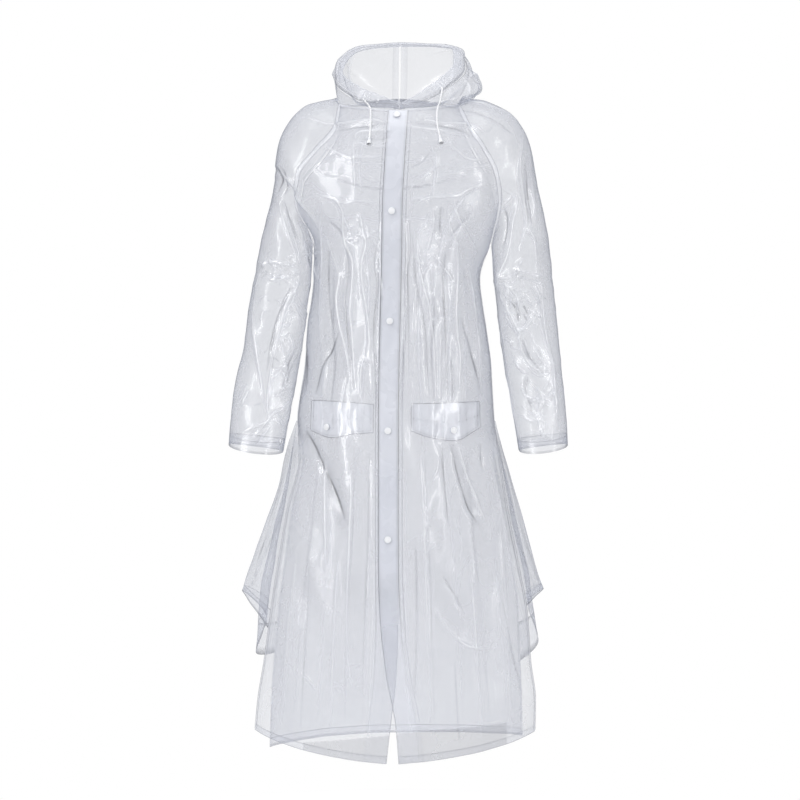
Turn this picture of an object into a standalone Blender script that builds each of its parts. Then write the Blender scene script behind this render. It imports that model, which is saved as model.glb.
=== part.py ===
"""Clear hooded raincoat with a snap front, raglan sleeves, pocket flaps and gussets in the skirt, filled out as worn.
Metres, +Z up, the front faces -Y. The wearer's right is -X, side "r", and the wearer's left is +X, side "l".
The origin is between the shoulders at the base of the neck, where the wearer carries it.

Every panel is read from smooth surfaces through short tables of rows. Row 0 is the neck seam, row 5 the underarm, row 9
the pockets and row 16 the hem."""

import bisect
import math

import bmesh
import bpy
from mathutils import Vector

for old in list(bpy.data.objects):
    bpy.data.objects.remove(old)

# ------------------------------------------------------------------ driving sizes, metres
WALL = 0.0012  # cloth wall
SEAM = 0.0007  # from a seam's line to the edge of each piece, at the middle of the wall
LAYER = 0.0019  # from one layer's middle to the next one's, wall and gap
STRIP_WIDTH = 0.0385  # placket strip
FLAP_LIFT = 0.0023  # from the front's middle to a flap's, at its top
CASING_WIDTH = 0.0255  # hood casing, across, and at its front ends
CASING_FRONT_WIDTH = 0.0095
CASING_HALF = 0.0039  # half its thickness, over the cord
CASING_WALL = 0.0010
CORD_FROM_RIM = 0.0195
CORD = 0.0032  # drawcord diameter
SNAP = 0.013  # snap cap diameter
CUFF_SNAP = 0.0105
COAT = "clear_raincoat"


def table(columns, *rows):
    return {name: [row[i] for row in rows] for i, name in enumerate(columns.split())}


def read(tab, column, v):
    """A smooth curve through one column of a table, without overshoot, read at row v."""
    vs, ys = tab[next(iter(tab))], tab[column]
    v = min(max(v, vs[0]), vs[-1])
    i = min(max(bisect.bisect_right(vs, v) - 1, 0), len(vs) - 2)

    def secant(k):
        return (ys[k + 1] - ys[k]) / (vs[k + 1] - vs[k])

    def slope(k):
        if k == 0:
            return secant(0)
        if k == len(vs) - 1:
            return secant(k - 1)
        a, b = secant(k - 1), secant(k)
        return 0.0 if a * b <= 0 else 2 * a * b / (a + b)

    h = vs[i + 1] - vs[i]
    t = (v - vs[i]) / h
    return (
        ys[i] * (1 + 2 * t) * (1 - t) ** 2
        + slope(i) * h * t * (1 - t) ** 2
        + ys[i + 1] * t * t * (3 - 2 * t)
        - slope(i + 1) * h * t * t * (1 - t)
    )


def smooth(a, b, x):
    t = min(max((x - a) / (b - a), 0.0), 1.0)
    return t * t * (3 - 2 * t)


# ------------------------------------------------------------------ tables of the body
# lap is how far each front runs past the centre line; below zero the fronts part in a slit
FRONT = table(
    "v x y z lap",
    (0, 0.004, -0.105, -0.0185, 0.0170),
    (1, 0.003, -0.124, -0.055, 0.0185),
    (2, 0.000, -0.136, -0.100, 0.0185),
    (3, -0.003, -0.143, -0.150, 0.0185),
    (4, -0.0055, -0.146, -0.200, 0.0185),
    (5, -0.0065, -0.144, -0.262, 0.0185),
    (6, -0.0075, -0.138, -0.330, 0.0185),
    (7, -0.0095, -0.136, -0.420, 0.0185),
    (8, -0.0115, -0.142, -0.500, 0.0185),
    (9, -0.0130, -0.150, -0.600, 0.0185),
    (10, -0.0130, -0.157, -0.680, 0.0185),
    (11, -0.0130, -0.167, -0.780, 0.0185),
    (12, -0.0125, -0.176, -0.880, 0.0185),
    (13, -0.0105, -0.184, -0.970, 0.0170),
    (14, -0.0065, -0.191, -1.070, 0.0100),
    (15, -0.0030, -0.197, -1.160, -0.0035),
    (16, -0.0040, -0.201, -1.234, -0.0108),
)
BACK = table(
    "v x y z",
    (0, 0.008, 0.085, 0.035),
    (1, 0.008, 0.105, -0.020),
    (2, 0.006, 0.121, -0.080),
    (3, 0.004, 0.130, -0.140),
    (4, 0.002, 0.133, -0.200),
    (5, 0.001, 0.131, -0.262),
    (6, 0.000, 0.125, -0.330),
    (7, -0.002, 0.122, -0.420),
    (8, -0.004, 0.131, -0.500),
    (9, -0.005, 0.143, -0.600),
    (10, -0.005, 0.153, -0.680),
    (11, -0.005, 0.166, -0.780),
    (12, -0.005, 0.176, -0.880),
    (13, -0.005, 0.185, -0.970),
    (14, -0.005, 0.191, -1.060),
    (15, -0.004, 0.197, -1.150),
    (16, -0.003, 0.201, -1.252),
)
# the seam at each side: raglan seam to row 5, side seam to row 9, edges of the gusset to row 16; turn is the angle that
# a row has turned through there; the back's own columns end in b
SEAMS = {
    "r": table(
        "v x y z turn xb yb zb",
        (0, -0.106, -0.040, 0.004, 62, -0.106, 0.036, 0.012),
        (1, -0.112, -0.078, -0.043, 52, -0.112, 0.068, -0.034),
        (2, -0.150, -0.098, -0.095, 56, -0.150, 0.090, -0.090),
        (3, -0.184, -0.090, -0.140, 64, -0.184, 0.086, -0.138),
        (4, -0.188, -0.062, -0.190, 74, -0.188, 0.060, -0.190),
        (5, -0.157, 0.000, -0.262, 90, -0.157, 0.000, -0.262),
        (6, -0.1585, 0.000, -0.330, 90, -0.1585, 0.000, -0.330),
        (7, -0.1690, 0.000, -0.420, 90, -0.1690, 0.000, -0.420),
        (8, -0.1755, 0.000, -0.500, 90, -0.1755, 0.000, -0.500),
        (9, -0.1890, 0.000, -0.600, 90, -0.1890, 0.000, -0.600),
        (10, -0.1840, -0.060, -0.680, 67, -0.184, 0.060, -0.680),
        (11, -0.2070, -0.072, -0.780, 64, -0.205, 0.072, -0.780),
        (12, -0.2240, -0.080, -0.880, 63, -0.220, 0.080, -0.880),
        (13, -0.2370, -0.086, -0.970, 62, -0.232, 0.086, -0.970),
        (14, -0.2490, -0.090, -1.060, 62, -0.241, 0.092, -1.060),
        (15, -0.2600, -0.093, -1.130, 62, -0.248, 0.096, -1.150),
        (16, -0.2660, -0.094, -1.190, 62, -0.252, 0.098, -1.262),
    ),
    "l": table(
        "v x y z turn xb yb zb",
        (0, 0.121, -0.040, 0.004, 62, 0.121, 0.036, 0.012),
        (1, 0.138, -0.078, -0.041, 52, 0.138, 0.068, -0.034),
        (2, 0.168, -0.098, -0.090, 56, 0.168, 0.090, -0.088),
        (3, 0.192, -0.092, -0.135, 64, 0.192, 0.086, -0.135),
        (4, 0.200, -0.066, -0.185, 74, 0.200, 0.062, -0.187),
        (5, 0.1845, 0.000, -0.262, 90, 0.1845, 0.000, -0.262),
        (6, 0.1655, 0.000, -0.330, 90, 0.1655, 0.000, -0.330),
        (7, 0.1765, 0.000, -0.420, 90, 0.1765, 0.000, -0.420),
        (8, 0.1865, 0.000, -0.500, 90, 0.1865, 0.000, -0.500),
        (9, 0.1930, 0.000, -0.600, 90, 0.1930, 0.000, -0.600),
        (10, 0.2010, -0.060, -0.680, 67, 0.198, 0.060, -0.680),
        (11, 0.2170, -0.072, -0.780, 64, 0.215, 0.072, -0.780),
        (12, 0.2365, -0.080, -0.880, 63, 0.232, 0.080, -0.880),
        (13, 0.2525, -0.086, -0.970, 62, 0.246, 0.086, -0.970),
        (14, 0.2585, -0.090, -1.060, 62, 0.250, 0.092, -1.060),
        (15, 0.2670, -0.093, -1.130, 62, 0.254, 0.096, -1.150),
        (16, 0.2660, -0.094, -1.193, 62, 0.256, 0.098, -1.238),
    ),
}
# the largest folds: from (xt, zt) down to (xb, zb), half width and depth; a valley is below zero
FRONT_FOLDS = table(
    "xt zt xb zb half depth",
    (-0.150, -0.60, -0.100, -0.86, 0.021, -0.0060),
    (-0.098, -0.62, -0.072, -1.12, 0.024, 0.0045),
    (-0.190, -0.78, -0.205, -1.16, 0.022, 0.0040),
    (-0.060, -0.82, -0.062, -1.20, 0.020, -0.0035),
    (0.084, -0.58, 0.096, -0.86, 0.019, -0.0060),
    (0.112, -0.60, 0.150, -0.90, 0.021, 0.0050),
    (0.056, -0.74, 0.062, -1.20, 0.021, 0.0040),
    (0.172, -0.80, 0.186, -1.18, 0.022, -0.0040),
)
BACK_FOLDS = table(
    "xt zt xb zb half depth",
    (-0.120, -0.56, -0.150, -1.20, 0.024, -0.0055),
    (-0.055, -0.42, -0.075, -1.22, 0.024, 0.0050),
    (0.030, -0.50, 0.020, -1.20, 0.022, -0.0050),
    (0.090, -0.40, 0.120, -1.22, 0.024, 0.0055),
    (0.150, -0.66, 0.190, -1.20, 0.022, -0.0045),
)

# ------------------------------------------------------------------ tables of the arms
# each ring runs from the top or outer point (xo, y, zo) over handles of length m to its seam; the raglan part to row 5
# ends on the body's seams, with a handle (hx, hy, hz) there, and the tube below closes under the arm at (xi, y, zi)
ARMS = {
    "r": table(
        "v xo y zo m xi zi hx hy hz",
        (0, -0.1125, 0.000, 0.0220, 0.016, 0, 0, 0.006, -0.012, 0.008),
        (1, -0.1600, 0.000, 0.0120, 0.045, 0, 0, 0.022, 0.004, 0.030),
        (2, -0.2030, 0.000, -0.0200, 0.060, 0, 0, 0.028, -0.004, 0.040),
        (3, -0.2270, 0.000, -0.0700, 0.064, 0, 0, 0.030, -0.004, 0.034),
        (4, -0.2375, 0.000, -0.1600, 0.068, 0, 0, 0.028, 0.022, 0.018),
        (5, -0.2620, 0.000, -0.2620, 0.093, -0.1605, -0.265, 0, 0.093, 0),
        (6, -0.2715, -0.002, -0.3160, 0.088, -0.1630, -0.318, 0, 0.088, 0),
        (7, -0.2850, -0.008, -0.3940, 0.080, -0.1725, -0.396, 0, 0.080, 0),
        (8, -0.2925, -0.016, -0.4600, 0.076, -0.1805, -0.463, 0, 0.076, 0),
        (9, -0.3080, -0.026, -0.5265, 0.073, -0.1925, -0.532, 0, 0.073, 0),
        (10, -0.3160, -0.038, -0.5950, 0.072, -0.2050, -0.603, 0, 0.072, 0),
        (11, -0.3195, -0.048, -0.6500, 0.069, -0.2145, -0.664, 0, 0.069, 0),
    ),
    "l": table(
        "v xo y zo m xi zi hx hy hz",
        (0, 0.1295, 0.000, 0.0220, 0.016, 0, 0, 0.006, -0.012, 0.008),
        (1, 0.1860, 0.000, 0.0120, 0.045, 0, 0, 0.022, 0.004, 0.030),
        (2, 0.2320, 0.000, -0.0160, 0.060, 0, 0, 0.028, -0.004, 0.040),
        (3, 0.2600, 0.000, -0.0620, 0.064, 0, 0, 0.030, -0.004, 0.034),
        (4, 0.2790, 0.000, -0.1550, 0.068, 0, 0, 0.028, 0.022, 0.018),
        (5, 0.3000, 0.000, -0.2620, 0.093, 0.1885, -0.265, 0, 0.093, 0),
        (6, 0.3055, -0.002, -0.3160, 0.088, 0.1915, -0.318, 0, 0.088, 0),
        (7, 0.3125, -0.008, -0.3940, 0.080, 0.1995, -0.396, 0, 0.080, 0),
        (8, 0.3185, -0.016, -0.4600, 0.076, 0.2085, -0.463, 0, 0.076, 0),
        (9, 0.3240, -0.026, -0.5265, 0.073, 0.2185, -0.532, 0, 0.073, 0),
        (10, 0.3300, -0.038, -0.5950, 0.072, 0.2295, -0.603, 0, 0.072, 0),
        (11, 0.3320, -0.048, -0.6500, 0.069, 0.2385, -0.662, 0, 0.069, 0),
    ),
}
ARM_ROWS = 11

# ------------------------------------------------------------------ tables of the hood
# the opening's rim by the angle round the neck, front 0 to back 180
RIM = {
    "r": table(
        "angle x y z",
        (0, 0.0122, -0.098, -0.0040),
        (30, -0.020, -0.103, 0.008),
        (60, -0.072, -0.082, 0.034),
        (90, -0.103, -0.020, 0.0723),
        (120, -0.089, 0.045, 0.1122),
        (150, -0.060, 0.075, 0.134),
        (180, 0.010, 0.085, 0.143),
    ),
    "l": table(
        "angle x y z",
        (0, 0.0122, -0.098, -0.0040),
        (30, 0.0475, -0.094, 0.0180),
        (60, 0.0865, -0.058, 0.0512),
        (90, 0.1140, -0.005, 0.090),
        (120, 0.1155, 0.045, 0.126),
        (150, 0.0898, 0.078, 0.1406),
        (180, 0.010, 0.085, 0.143),
    ),
}
# how far the hood bulges out and up, near the neck (1) and near the rim (2)
BULGE = {
    "r": table(
        "angle out1 up1 out2 up2",
        (0, 0.001, 0.005, 0.001, -0.005),
        (45, 0.006, 0.008, 0.003, -0.014),
        (90, 0.004, 0.018, 0.010, 0.006),
        (120, 0.006, 0.012, 0.062, 0.020),
        (150, 0.105, -0.040, 0.072, 0.052),
        (180, 0.145, -0.070, 0.075, 0.060),
    ),
    "l": table(
        "angle out1 up1 out2 up2",
        (0, 0.001, 0.005, 0.001, -0.005),
        (45, 0.014, 0.008, 0.005, -0.020),
        (90, 0.084, 0.006, 0.014, -0.008),
        (120, 0.068, 0.010, 0.054, 0.020),
        (150, 0.110, -0.040, 0.070, 0.040),
        (180, 0.145, -0.070, 0.075, 0.060),
    ),
}
# the rim's angle by place along the neck seam, from the hood's front edge to the middle of the back
TURN = {
    "r": table("q angle", (-0.02, 1), (0.2, 22), (0.4, 40), (0.6, 54), (0.8, 65), (1, 75), (1.5, 90), (2, 107), (2.3, 124), (2.6, 145), (3, 180)),
    "l": table("q angle", (0.10, 1), (0.2, 9), (0.3, 20), (0.4, 31), (0.5, 41), (0.6, 50), (0.8, 64), (1, 77), (1.5, 90), (2, 106), (2.3, 124), (2.6, 145), (3, 180)),
}

# ------------------------------------------------------------------ tables of the gussets
# from the front's edge over the outer tip (1), the inner valley and the rear tip (2) to the back's edge: x by height
GUSSETS = {
    "r": table(
        "z x1 y1 xm ym x2 y2",
        (-1.070, -0.335, -0.020, -0.262, 0.030, -0.276, 0.058),
        (-0.936, -0.297, -0.014, -0.246, 0.026, -0.266, 0.054),
        (-0.8775, -0.277, -0.010, -0.236, 0.022, -0.252, 0.050),
        (-0.815, -0.255, -0.006, -0.226, 0.018, -0.238, 0.044),
        (-0.735, -0.228, -0.002, -0.210, 0.014, -0.216, 0.036),
        (-0.665, -0.2125, 0.000, -0.200, 0.010, -0.202, 0.026),
        (-0.600, -0.1905, 0.000, -0.1900, 0.001, -0.1895, 0.002),
    ),
    "l": table(
        "z x1 y1 xm ym x2 y2",
        (-1.070, 0.330, -0.020, 0.272, 0.030, 0.288, 0.058),
        (-0.936, 0.290, -0.014, 0.258, 0.026, 0.268, 0.054),
        (-0.9145, 0.283, -0.012, 0.255, 0.024, 0.266, 0.053),
        (-0.848, 0.263, -0.008, 0.240, 0.020, 0.250, 0.047),
        (-0.780, 0.244, -0.004, 0.226, 0.016, 0.234, 0.040),
        (-0.702, 0.222, 0.000, 0.212, 0.012, 0.215, 0.030),
        (-0.640, 0.204, 0.000, 0.199, 0.006, 0.199, 0.014),
        (-0.600, 0.1945, 0.000, 0.1940, 0.001, 0.1935, 0.002),
    ),
}
GUSSET_TOP = -0.606
# hem heights at the front's edge, tip 1, valley, tip 2 and the back's edge
GUSSET_HEMS = {"r": (-1.000, -0.936, -0.990, -1.066, -1.072), "l": (-0.957, -0.932, -0.966, -1.045, -1.088)}

# ------------------------------------------------------------------ tables of the trim
# pocket flaps: top and bottom edges by x
FLAPS = {
    "r": table("x top low", (-0.158, -0.5655, -0.6235), (-0.115, -0.5675, -0.6370), (-0.080, -0.5700, -0.6300), (-0.0395, -0.5735, -0.6270)),
    "l": table("x top low", (0.0300, -0.5725, -0.6235), (0.0720, -0.5715, -0.6385), (0.1110, -0.5700, -0.6430), (0.1600, -0.5680, -0.6180)),
}
FRONT_SNAPS = (-0.0300, -0.2130, -0.4180, -0.6235, -0.8245)  # heights of the five snaps down the front
FLAP_SNAPS = {"r": (-0.1251, -0.6165), "l": (0.1091, -0.6230)}
# the cord's free ends: x, height, and how far off the cloth
CORD_ENDS = {
    "r": table("x z off", (-0.0468, -0.0085, 0.0100), (-0.0446, -0.0200, 0.0080), (-0.0442, -0.0320, 0.0055), (-0.0450, -0.0509, 0.0034), (-0.0468, -0.0750, 0.0044)),
    "l": table("x z off", (0.0802, -0.0040, 0.0135), (0.0788, -0.0130, 0.0105), (0.0780, -0.0260, 0.0062), (0.0790, -0.0471, 0.0034), (0.0838, -0.0730, 0.0044)),
}
CORD_EXIT_X = {"r": -0.0495, "l": 0.0810}
SIDES = {"r": -1.0, "l": 1.0}


# ------------------------------------------------------------------ surfaces
def fold_height(folds, x, z):
    """How far the folds move the cloth out at one place of the front or the back."""
    total = 0.0
    for xt, zt, xb, zb, half, depth in zip(*(folds[c] for c in "xt zt xb zb half depth".split())):
        t = (zt - z) / (zt - zb)
        if -0.1 < t < 1.1:
            gap = (x - (xt + (xb - xt) * t)) / half
            total += depth * math.exp(-gap * gap) * smooth(-0.1, 0.25, t) * (1 - smooth(0.75, 1.1, t))
    return total


def front_point(side, v, s):
    """The front's cloth: s is 0 on the centre line, 1 on the seam at the side, and below 0 past the centre."""
    seams = SEAMS[side]
    turn = math.radians(read(seams, "turn", v))
    xc, yc, zc = (read(FRONT, c, v) for c in "xyz")
    xe, ye, ze = (read(seams, c, v) for c in "xyz")
    x = xc + (xe - xc) * math.sin(turn * s) / math.sin(turn)
    y = ye + (yc - ye) * (math.cos(turn * s) - math.cos(turn)) / (1 - math.cos(turn))
    z = zc + (ze - zc) * max(s, 0.0) ** 1.4
    return Vector((x, y - fold_height(FRONT_FOLDS, x, z) * (1 - max(s, 0.0) ** 6), z))


def back_point(side, v, s):
    """The back's cloth: s is 0 on the centre line and 1 on the seam at the side."""
    seams = SEAMS[side]
    turn = math.radians(read(seams, "turn", v))
    xc, yc, zc = (read(BACK, c, v) for c in "xyz")
    xe, ye, ze = (read(seams, c, v) for c in ("xb", "yb", "zb"))
    x = xc + (xe - xc) * math.sin(turn * s) / math.sin(turn)
    y = ye + (yc - ye) * (math.cos(turn * s) - math.cos(turn)) / (1 - math.cos(turn))
    z = zc + (ze - zc) * s**1.4
    return Vector((x, y + fold_height(BACK_FOLDS, x, z) * (1 - s**6), z))


def bezier(p, t):
    u = 1 - t
    return p[0] * u**3 + p[1] * (3 * u * u * t) + p[2] * (3 * u * t * t) + p[3] * t**3


def sleeve_point(side, v, u):
    """The sleeve's cloth: u is -1 on its front seam, 0 along the top or outer side, and 1 on its back seam."""
    arm, seams, sign = ARMS[side], SEAMS[side], SIDES[side]
    face = -1.0 if u < 0 else 1.0
    y, m = read(arm, "y", v), read(arm, "m", v)
    top = Vector((read(arm, "xo", v), y, read(arm, "zo", v)))
    hx, hy, hz = (read(arm, c, v) for c in ("hx", "hy", "hz"))
    if v >= 5:
        end = Vector((read(arm, "xi", v), y, read(arm, "zi", v)))
    else:
        end = Vector([read(seams, c if u < 0 else c + "b", v) for c in "xyz"])
        under = Vector((read(arm, "xi", 5), 0, read(arm, "zi", 5))) - Vector([read(seams, c, 5) for c in "xyz"])
        end += under * smooth(3.8, 5, v)
    handle = end + Vector((sign * hx, face * hy, hz))
    if v < 5:
        end += (handle - end).normalized() * SEAM * 1.7
    point = bezier((top, top + Vector((0, face * m, 0)), handle, end), abs(u))
    if u < 0:  # the cuff hangs lower at the front
        point.z -= 0.010 * smooth(9.0, 11, v) * 4 * abs(u) * (1 - abs(u))
    return point


def neck_point(side, q):
    """The neck seam, from the front (0) over the raglan seams (1 and 2) to the middle of the back (3)."""
    if q < 1:
        return front_point(side, 0, q)
    if q < 2:
        return sleeve_point(side, 0, 2 * q - 3)
    return back_point(side, 0, 3 - q)


def hood_curve(side, q):
    """The four points of the hood's curve from the neck seam to the rim."""
    neck = neck_point(side, q)
    angle = read(TURN[side], "angle", q)
    rim = Vector([read(RIM[side], c, angle) for c in "xyz"])
    out = Vector((SIDES[side] * math.sin(math.radians(angle)), -math.cos(math.radians(angle)), 0))
    up = Vector((0, 0, 1))
    out1, up1, out2, up2 = (read(BULGE[side], c, angle) for c in ("out1", "up1", "out2", "up2"))
    start = neck + up * (0.0023 + 0.0012 * smooth(0.8, 1.1, q) * (1 - smooth(1.9, 2.2, q))) + out * 0.0006
    return start, start + out * out1 + up * up1, rim + out * out2 + up * up2, rim


def casing_width(q):
    return CASING_FRONT_WIDTH + (CASING_WIDTH - CASING_FRONT_WIDTH) * smooth(0.0, 0.6, q)


def hood_at(side, q, back_from_rim):
    """A point of the hood's curve, so many metres back from the rim along it, with its direction to the rim."""
    p = hood_curve(side, q)
    steps = 60
    t, length, last = 1.0, 0.0, bezier(p, 1.0)
    for i in range(1, steps + 1):
        now = bezier(p, 1 - i / steps)
        step = (now - last).length
        if length + step >= back_from_rim:
            t = 1 - (i - 1 + (back_from_rim - length) / step) / steps
            break
        length, last, t = length + step, now, 1 - i / steps
    ahead = bezier(p, min(t + 0.01, 1.0)) - bezier(p, max(t - 0.01, 0.0))
    return bezier(p, t), ahead.normalized(), t


def between(line, z):
    """The place at height z on a line of points that runs down."""
    for a, b in zip(line, line[1:]):
        if b.z <= z:
            return a + (b - a) * ((a.z - z) / (a.z - b.z))
    return line[-1]


def gusset_point(side, c, heights):
    """The gusset's cloth: c runs 0 to 1 from the front's edge to the back's, at five heights along the row."""
    shape = GUSSETS[side]
    points = [
        between(EDGE_LINES[side, "front"], heights[0]),
        Vector((read(shape, "x1", heights[1]), read(shape, "y1", heights[1]), heights[1])),
        Vector((read(shape, "xm", heights[2]), read(shape, "ym", heights[2]), heights[2])),
        Vector((read(shape, "x2", heights[3]), read(shape, "y2", heights[3]), heights[3])),
        between(EDGE_LINES[side, "back"], heights[4]),
    ]
    points[0] += (points[1] - points[0]).normalized() * SEAM * 2
    points[4] += (points[3] - points[4]).normalized() * SEAM * 2
    k = min(int(c * 4), 3)
    t = c * 4 - k
    a, b = points[k], points[k + 1]
    before = points[max(k - 1, 0)]
    after = points[min(k + 2, 4)]
    da, db = (b - before) * 0.42, (after - a) * 0.42
    return a * (1 + 2 * t) * (1 - t) ** 2 + da * t * (1 - t) ** 2 + b * t * t * (3 - 2 * t) - db * t * t * (1 - t)


def row_at(tab, column, z):
    """The row of a table, at or below row 5, where its height is z."""
    low, high = 5.0, 16.0
    for _ in range(40):
        mid = (low + high) / 2
        low, high = (mid, high) if read(tab, column, mid) > z else (low, mid)
    return (low + high) / 2


def lifted(surface, a, b, distance, outward):
    """A point of a surface moved along its normal, away from the coat's inside."""
    here = surface(a, b)
    normal = (surface(a + 0.01, b) - here).cross(surface(a, b + 0.01) - here).normalized()
    if normal.dot(outward) < 0:
        normal = -normal
    return here + normal * distance, normal


def front_place(side, x, z, distance):
    """The place on a front at x and height z, moved out from the cloth, with its normal."""
    low, high = 0.0, 16.0
    turn_s = 0.0
    for _ in range(30):
        v = (low + high) / 2
        seams = SEAMS[side]
        turn = math.radians(read(seams, "turn", v))
        xc, xe = read(FRONT, "x", v), read(seams, "x", v)
        share = max(min((x - xc) / (xe - xc) * math.sin(turn), 1.0), -1.0)
        turn_s = math.asin(share) / turn
        low, high = (v, high) if front_point(side, v, turn_s).z > z else (low, v)
    return lifted(lambda a, b: front_point(side, a, b), (low + high) / 2, turn_s, distance, Vector((0, -1, 0.2)))


# ------------------------------------------------------------------ making objects
coat = bpy.data.collections.new(COAT)
cutters = bpy.data.collections.new("cutters")
bpy.context.scene.collection.children.link(coat)
bpy.context.scene.collection.children.link(cutters)


def material(name, colour, roughness, alpha=1.0):
    made = bpy.data.materials.new(name)
    made.use_nodes = True
    shader = made.node_tree.nodes["Principled BSDF"]
    shader.inputs["Base Color"].default_value = (*colour, 1)
    shader.inputs["Roughness"].default_value = roughness
    shader.inputs["Metallic"].default_value = 0.0
    shader.inputs["Alpha"].default_value = alpha
    return made


def place(name, data, mat, collection=None):
    made = bpy.data.objects.new(name, data)
    (collection or coat).objects.link(made)
    data.materials.clear()
    data.materials.append(mat)
    return made


def face_out(bm, surface_outward):
    """Turns every face the same way, so that the wall is made with its outer side out."""
    bmesh.ops.recalc_face_normals(bm, faces=bm.faces)
    votes = sum(1 if f.normal.dot(surface_outward(f.calc_center_median())) > 0 else -1 for f in bm.faces)
    if votes < 0:
        bmesh.ops.reverse_faces(bm, faces=bm.faces)


def sheet(name, mat, rows, outward, wall=WALL, weld=False):
    """An open surface through rows of points, given its wall."""
    bm = bmesh.new()
    grid = [[bm.verts.new(p) for p in row] for row in rows]
    for i in range(len(rows) - 1):
        for j in range(len(rows[0]) - 1):
            bm.faces.new((grid[i][j], grid[i][j + 1], grid[i + 1][j + 1], grid[i + 1][j]))
    if weld:
        bmesh.ops.remove_doubles(bm, verts=bm.verts, dist=0.00005)
    face_out(bm, outward)
    mesh = bpy.data.meshes.new(name)
    bm.to_mesh(mesh)
    bm.free()
    made = place(name, mesh, mat)
    made.data.shade_smooth()
    thick = made.modifiers.new("wall", "SOLIDIFY")
    thick.thickness = wall
    thick.offset = 0.0
    thick.use_even_offset = True
    return made


def from_axis(point):
    """Away from the coat's upright axis."""
    return Vector((point.x, point.y, 0))


def span(a, b, count):
    return [a + (b - a) * i / count for i in range(count + 1)]


film = {
    "front_right": material("film_front_right", (0.78, 0.80, 0.85), 0.25, 0.4),
    "front_left": material("film_front_left", (0.80, 0.82, 0.87), 0.25, 0.4),
    "back": material("film_back", (0.74, 0.76, 0.82), 0.28, 0.4),
    "sleeve_right": material("film_sleeve_right", (0.76, 0.79, 0.85), 0.25, 0.4),
    "sleeve_left": material("film_sleeve_left", (0.77, 0.80, 0.85), 0.25, 0.4),
    "gusset_right": material("film_gusset_right", (0.79, 0.80, 0.83), 0.27, 0.4),
    "gusset_left": material("film_gusset_left", (0.79, 0.80, 0.83), 0.27, 0.4),
    "hood_right": material("film_hood_right", (0.81, 0.83, 0.87), 0.24, 0.4),
    "hood_left": material("film_hood_left", (0.81, 0.83, 0.87), 0.24, 0.4),
    "hood_casing": material("film_hood_casing", (0.83, 0.85, 0.89), 0.24, 0.5),
    "placket": material("film_placket", (0.84, 0.86, 0.90), 0.24, 0.55),
    "flap_right": material("film_flap_right", (0.83, 0.85, 0.89), 0.24, 0.55),
    "flap_left": material("film_flap_left", (0.83, 0.85, 0.89), 0.24, 0.55),
}
white_plastic = {n: material("white_" + n, (0.93, 0.94, 0.96), 0.3) for n in ("snap", "toggle")}
white_cord = material("white_cord", (0.90, 0.91, 0.93), 0.7)


# ------------------------------------------------------------------ fronts, with the left one lapped over the right
BODY_ROWS = span(0, 5, 9)[:-1] + span(5, 9, 6)[:-1] + span(9, 16, 12)


def centre_s(side, v, x_from_centre):
    """s of a point so far past the centre line, towards the other front."""
    seams = SEAMS[side]
    turn = math.radians(read(seams, "turn", v))
    reach = abs(read(seams, "x", v) - read(FRONT, "x", v))
    return -math.asin(min(max(x_from_centre / reach * math.sin(turn), -1.0), 1.0)) / turn


def seam_s(surface, side, v):
    """s of the panel's edge, short of the seam's line by half the seam's gap."""
    a, b = surface(side, v, 1.0), surface(side, v, 0.95)
    return 1 - 0.05 * SEAM / (a - b).length


def over(x_to_centre, past):
    """How far the upper front stands out over the lower one, and how it comes down beside it."""
    return LAYER * (1 - smooth(past + 0.003, past + 0.038, x_to_centre))


def front_rows(side, columns):
    rows = []
    for v in BODY_ROWS:
        lap = read(FRONT, "lap", v)
        start, end = centre_s(side, v, lap), seam_s(front_point, side, v)
        past = max(abs(lap), 0.002)
        flat = centre_s(side, v, -past - 0.004)  # just past the edge of the other front
        step = centre_s(side, v, -past - 0.036)
        row = []
        for s in [start, (start + flat) / 2, flat, step] + span(step, end, columns)[1:]:
            x = (front_point(side, v, s).x - read(FRONT, "x", v)) * SIDES[side]
            rise = over(x, past) if side == "l" else 0.0
            row.append(lifted(lambda a, b: front_point(side, a, b), v, s, rise, Vector((0, -1, 0.2)))[0])
        rows.append(row)
    return rows


EDGE_LINES = {}  # the panels' edges beside the gussets
for side, name in (("r", "front_right"), ("l", "front_left")):
    rows = front_rows(side, 7)
    EDGE_LINES[side, "front"] = [row[-1] for row in rows]
    sheet(name, film[name], rows, from_axis)


# ------------------------------------------------------------------ placket strip, on the left front along its edge
def strip_place(v, across, rise):
    """A point over the left front, so far in from its edge."""
    lap = read(FRONT, "lap", v)
    s = centre_s("l", v, lap - across)
    x = front_point("l", v, s).x - read(FRONT, "x", v)
    height = over(x, max(abs(lap), 0.002)) + LAYER * rise
    return lifted(lambda a, b: front_point("l", a, b), v, s, height, Vector((0, -1, 0.2)))


sheet(
    "placket",
    film["placket"],
    [[strip_place(v, a, 1)[0] for a in span(0.0006, STRIP_WIDTH, 4)] for v in [0.06] + BODY_ROWS[1:-1] + [15.94]],
    from_axis,
)

# ------------------------------------------------------------------ back, one piece
rows = []
for v in BODY_ROWS:
    right, left = seam_s(back_point, "r", v), seam_s(back_point, "l", v)
    rows.append([back_point("r", v, s) for s in span(right, 0, 6)[:-1]] + [back_point("l", v, s) for s in span(0, left, 6)])
EDGE_LINES["r", "back"] = [row[0] for row in rows]
EDGE_LINES["l", "back"] = [row[-1] for row in rows]
sheet("back", film["back"], rows, from_axis)

# ------------------------------------------------------------------ sleeves
for side, name in (("r", "sleeve_right"), ("l", "sleeve_left")):
    rows = [[sleeve_point(side, v, u) for u in span(-1, 1, 12)] for v in span(0, 5, 9) + span(5, ARM_ROWS, 9)[1:]]
    axis = Vector((SIDES[side] * 0.21, 0, 0))
    sheet(name, film[name], rows, lambda p, axis=axis: Vector((p.x - axis.x, p.y, 0.02)), weld=True)

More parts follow.
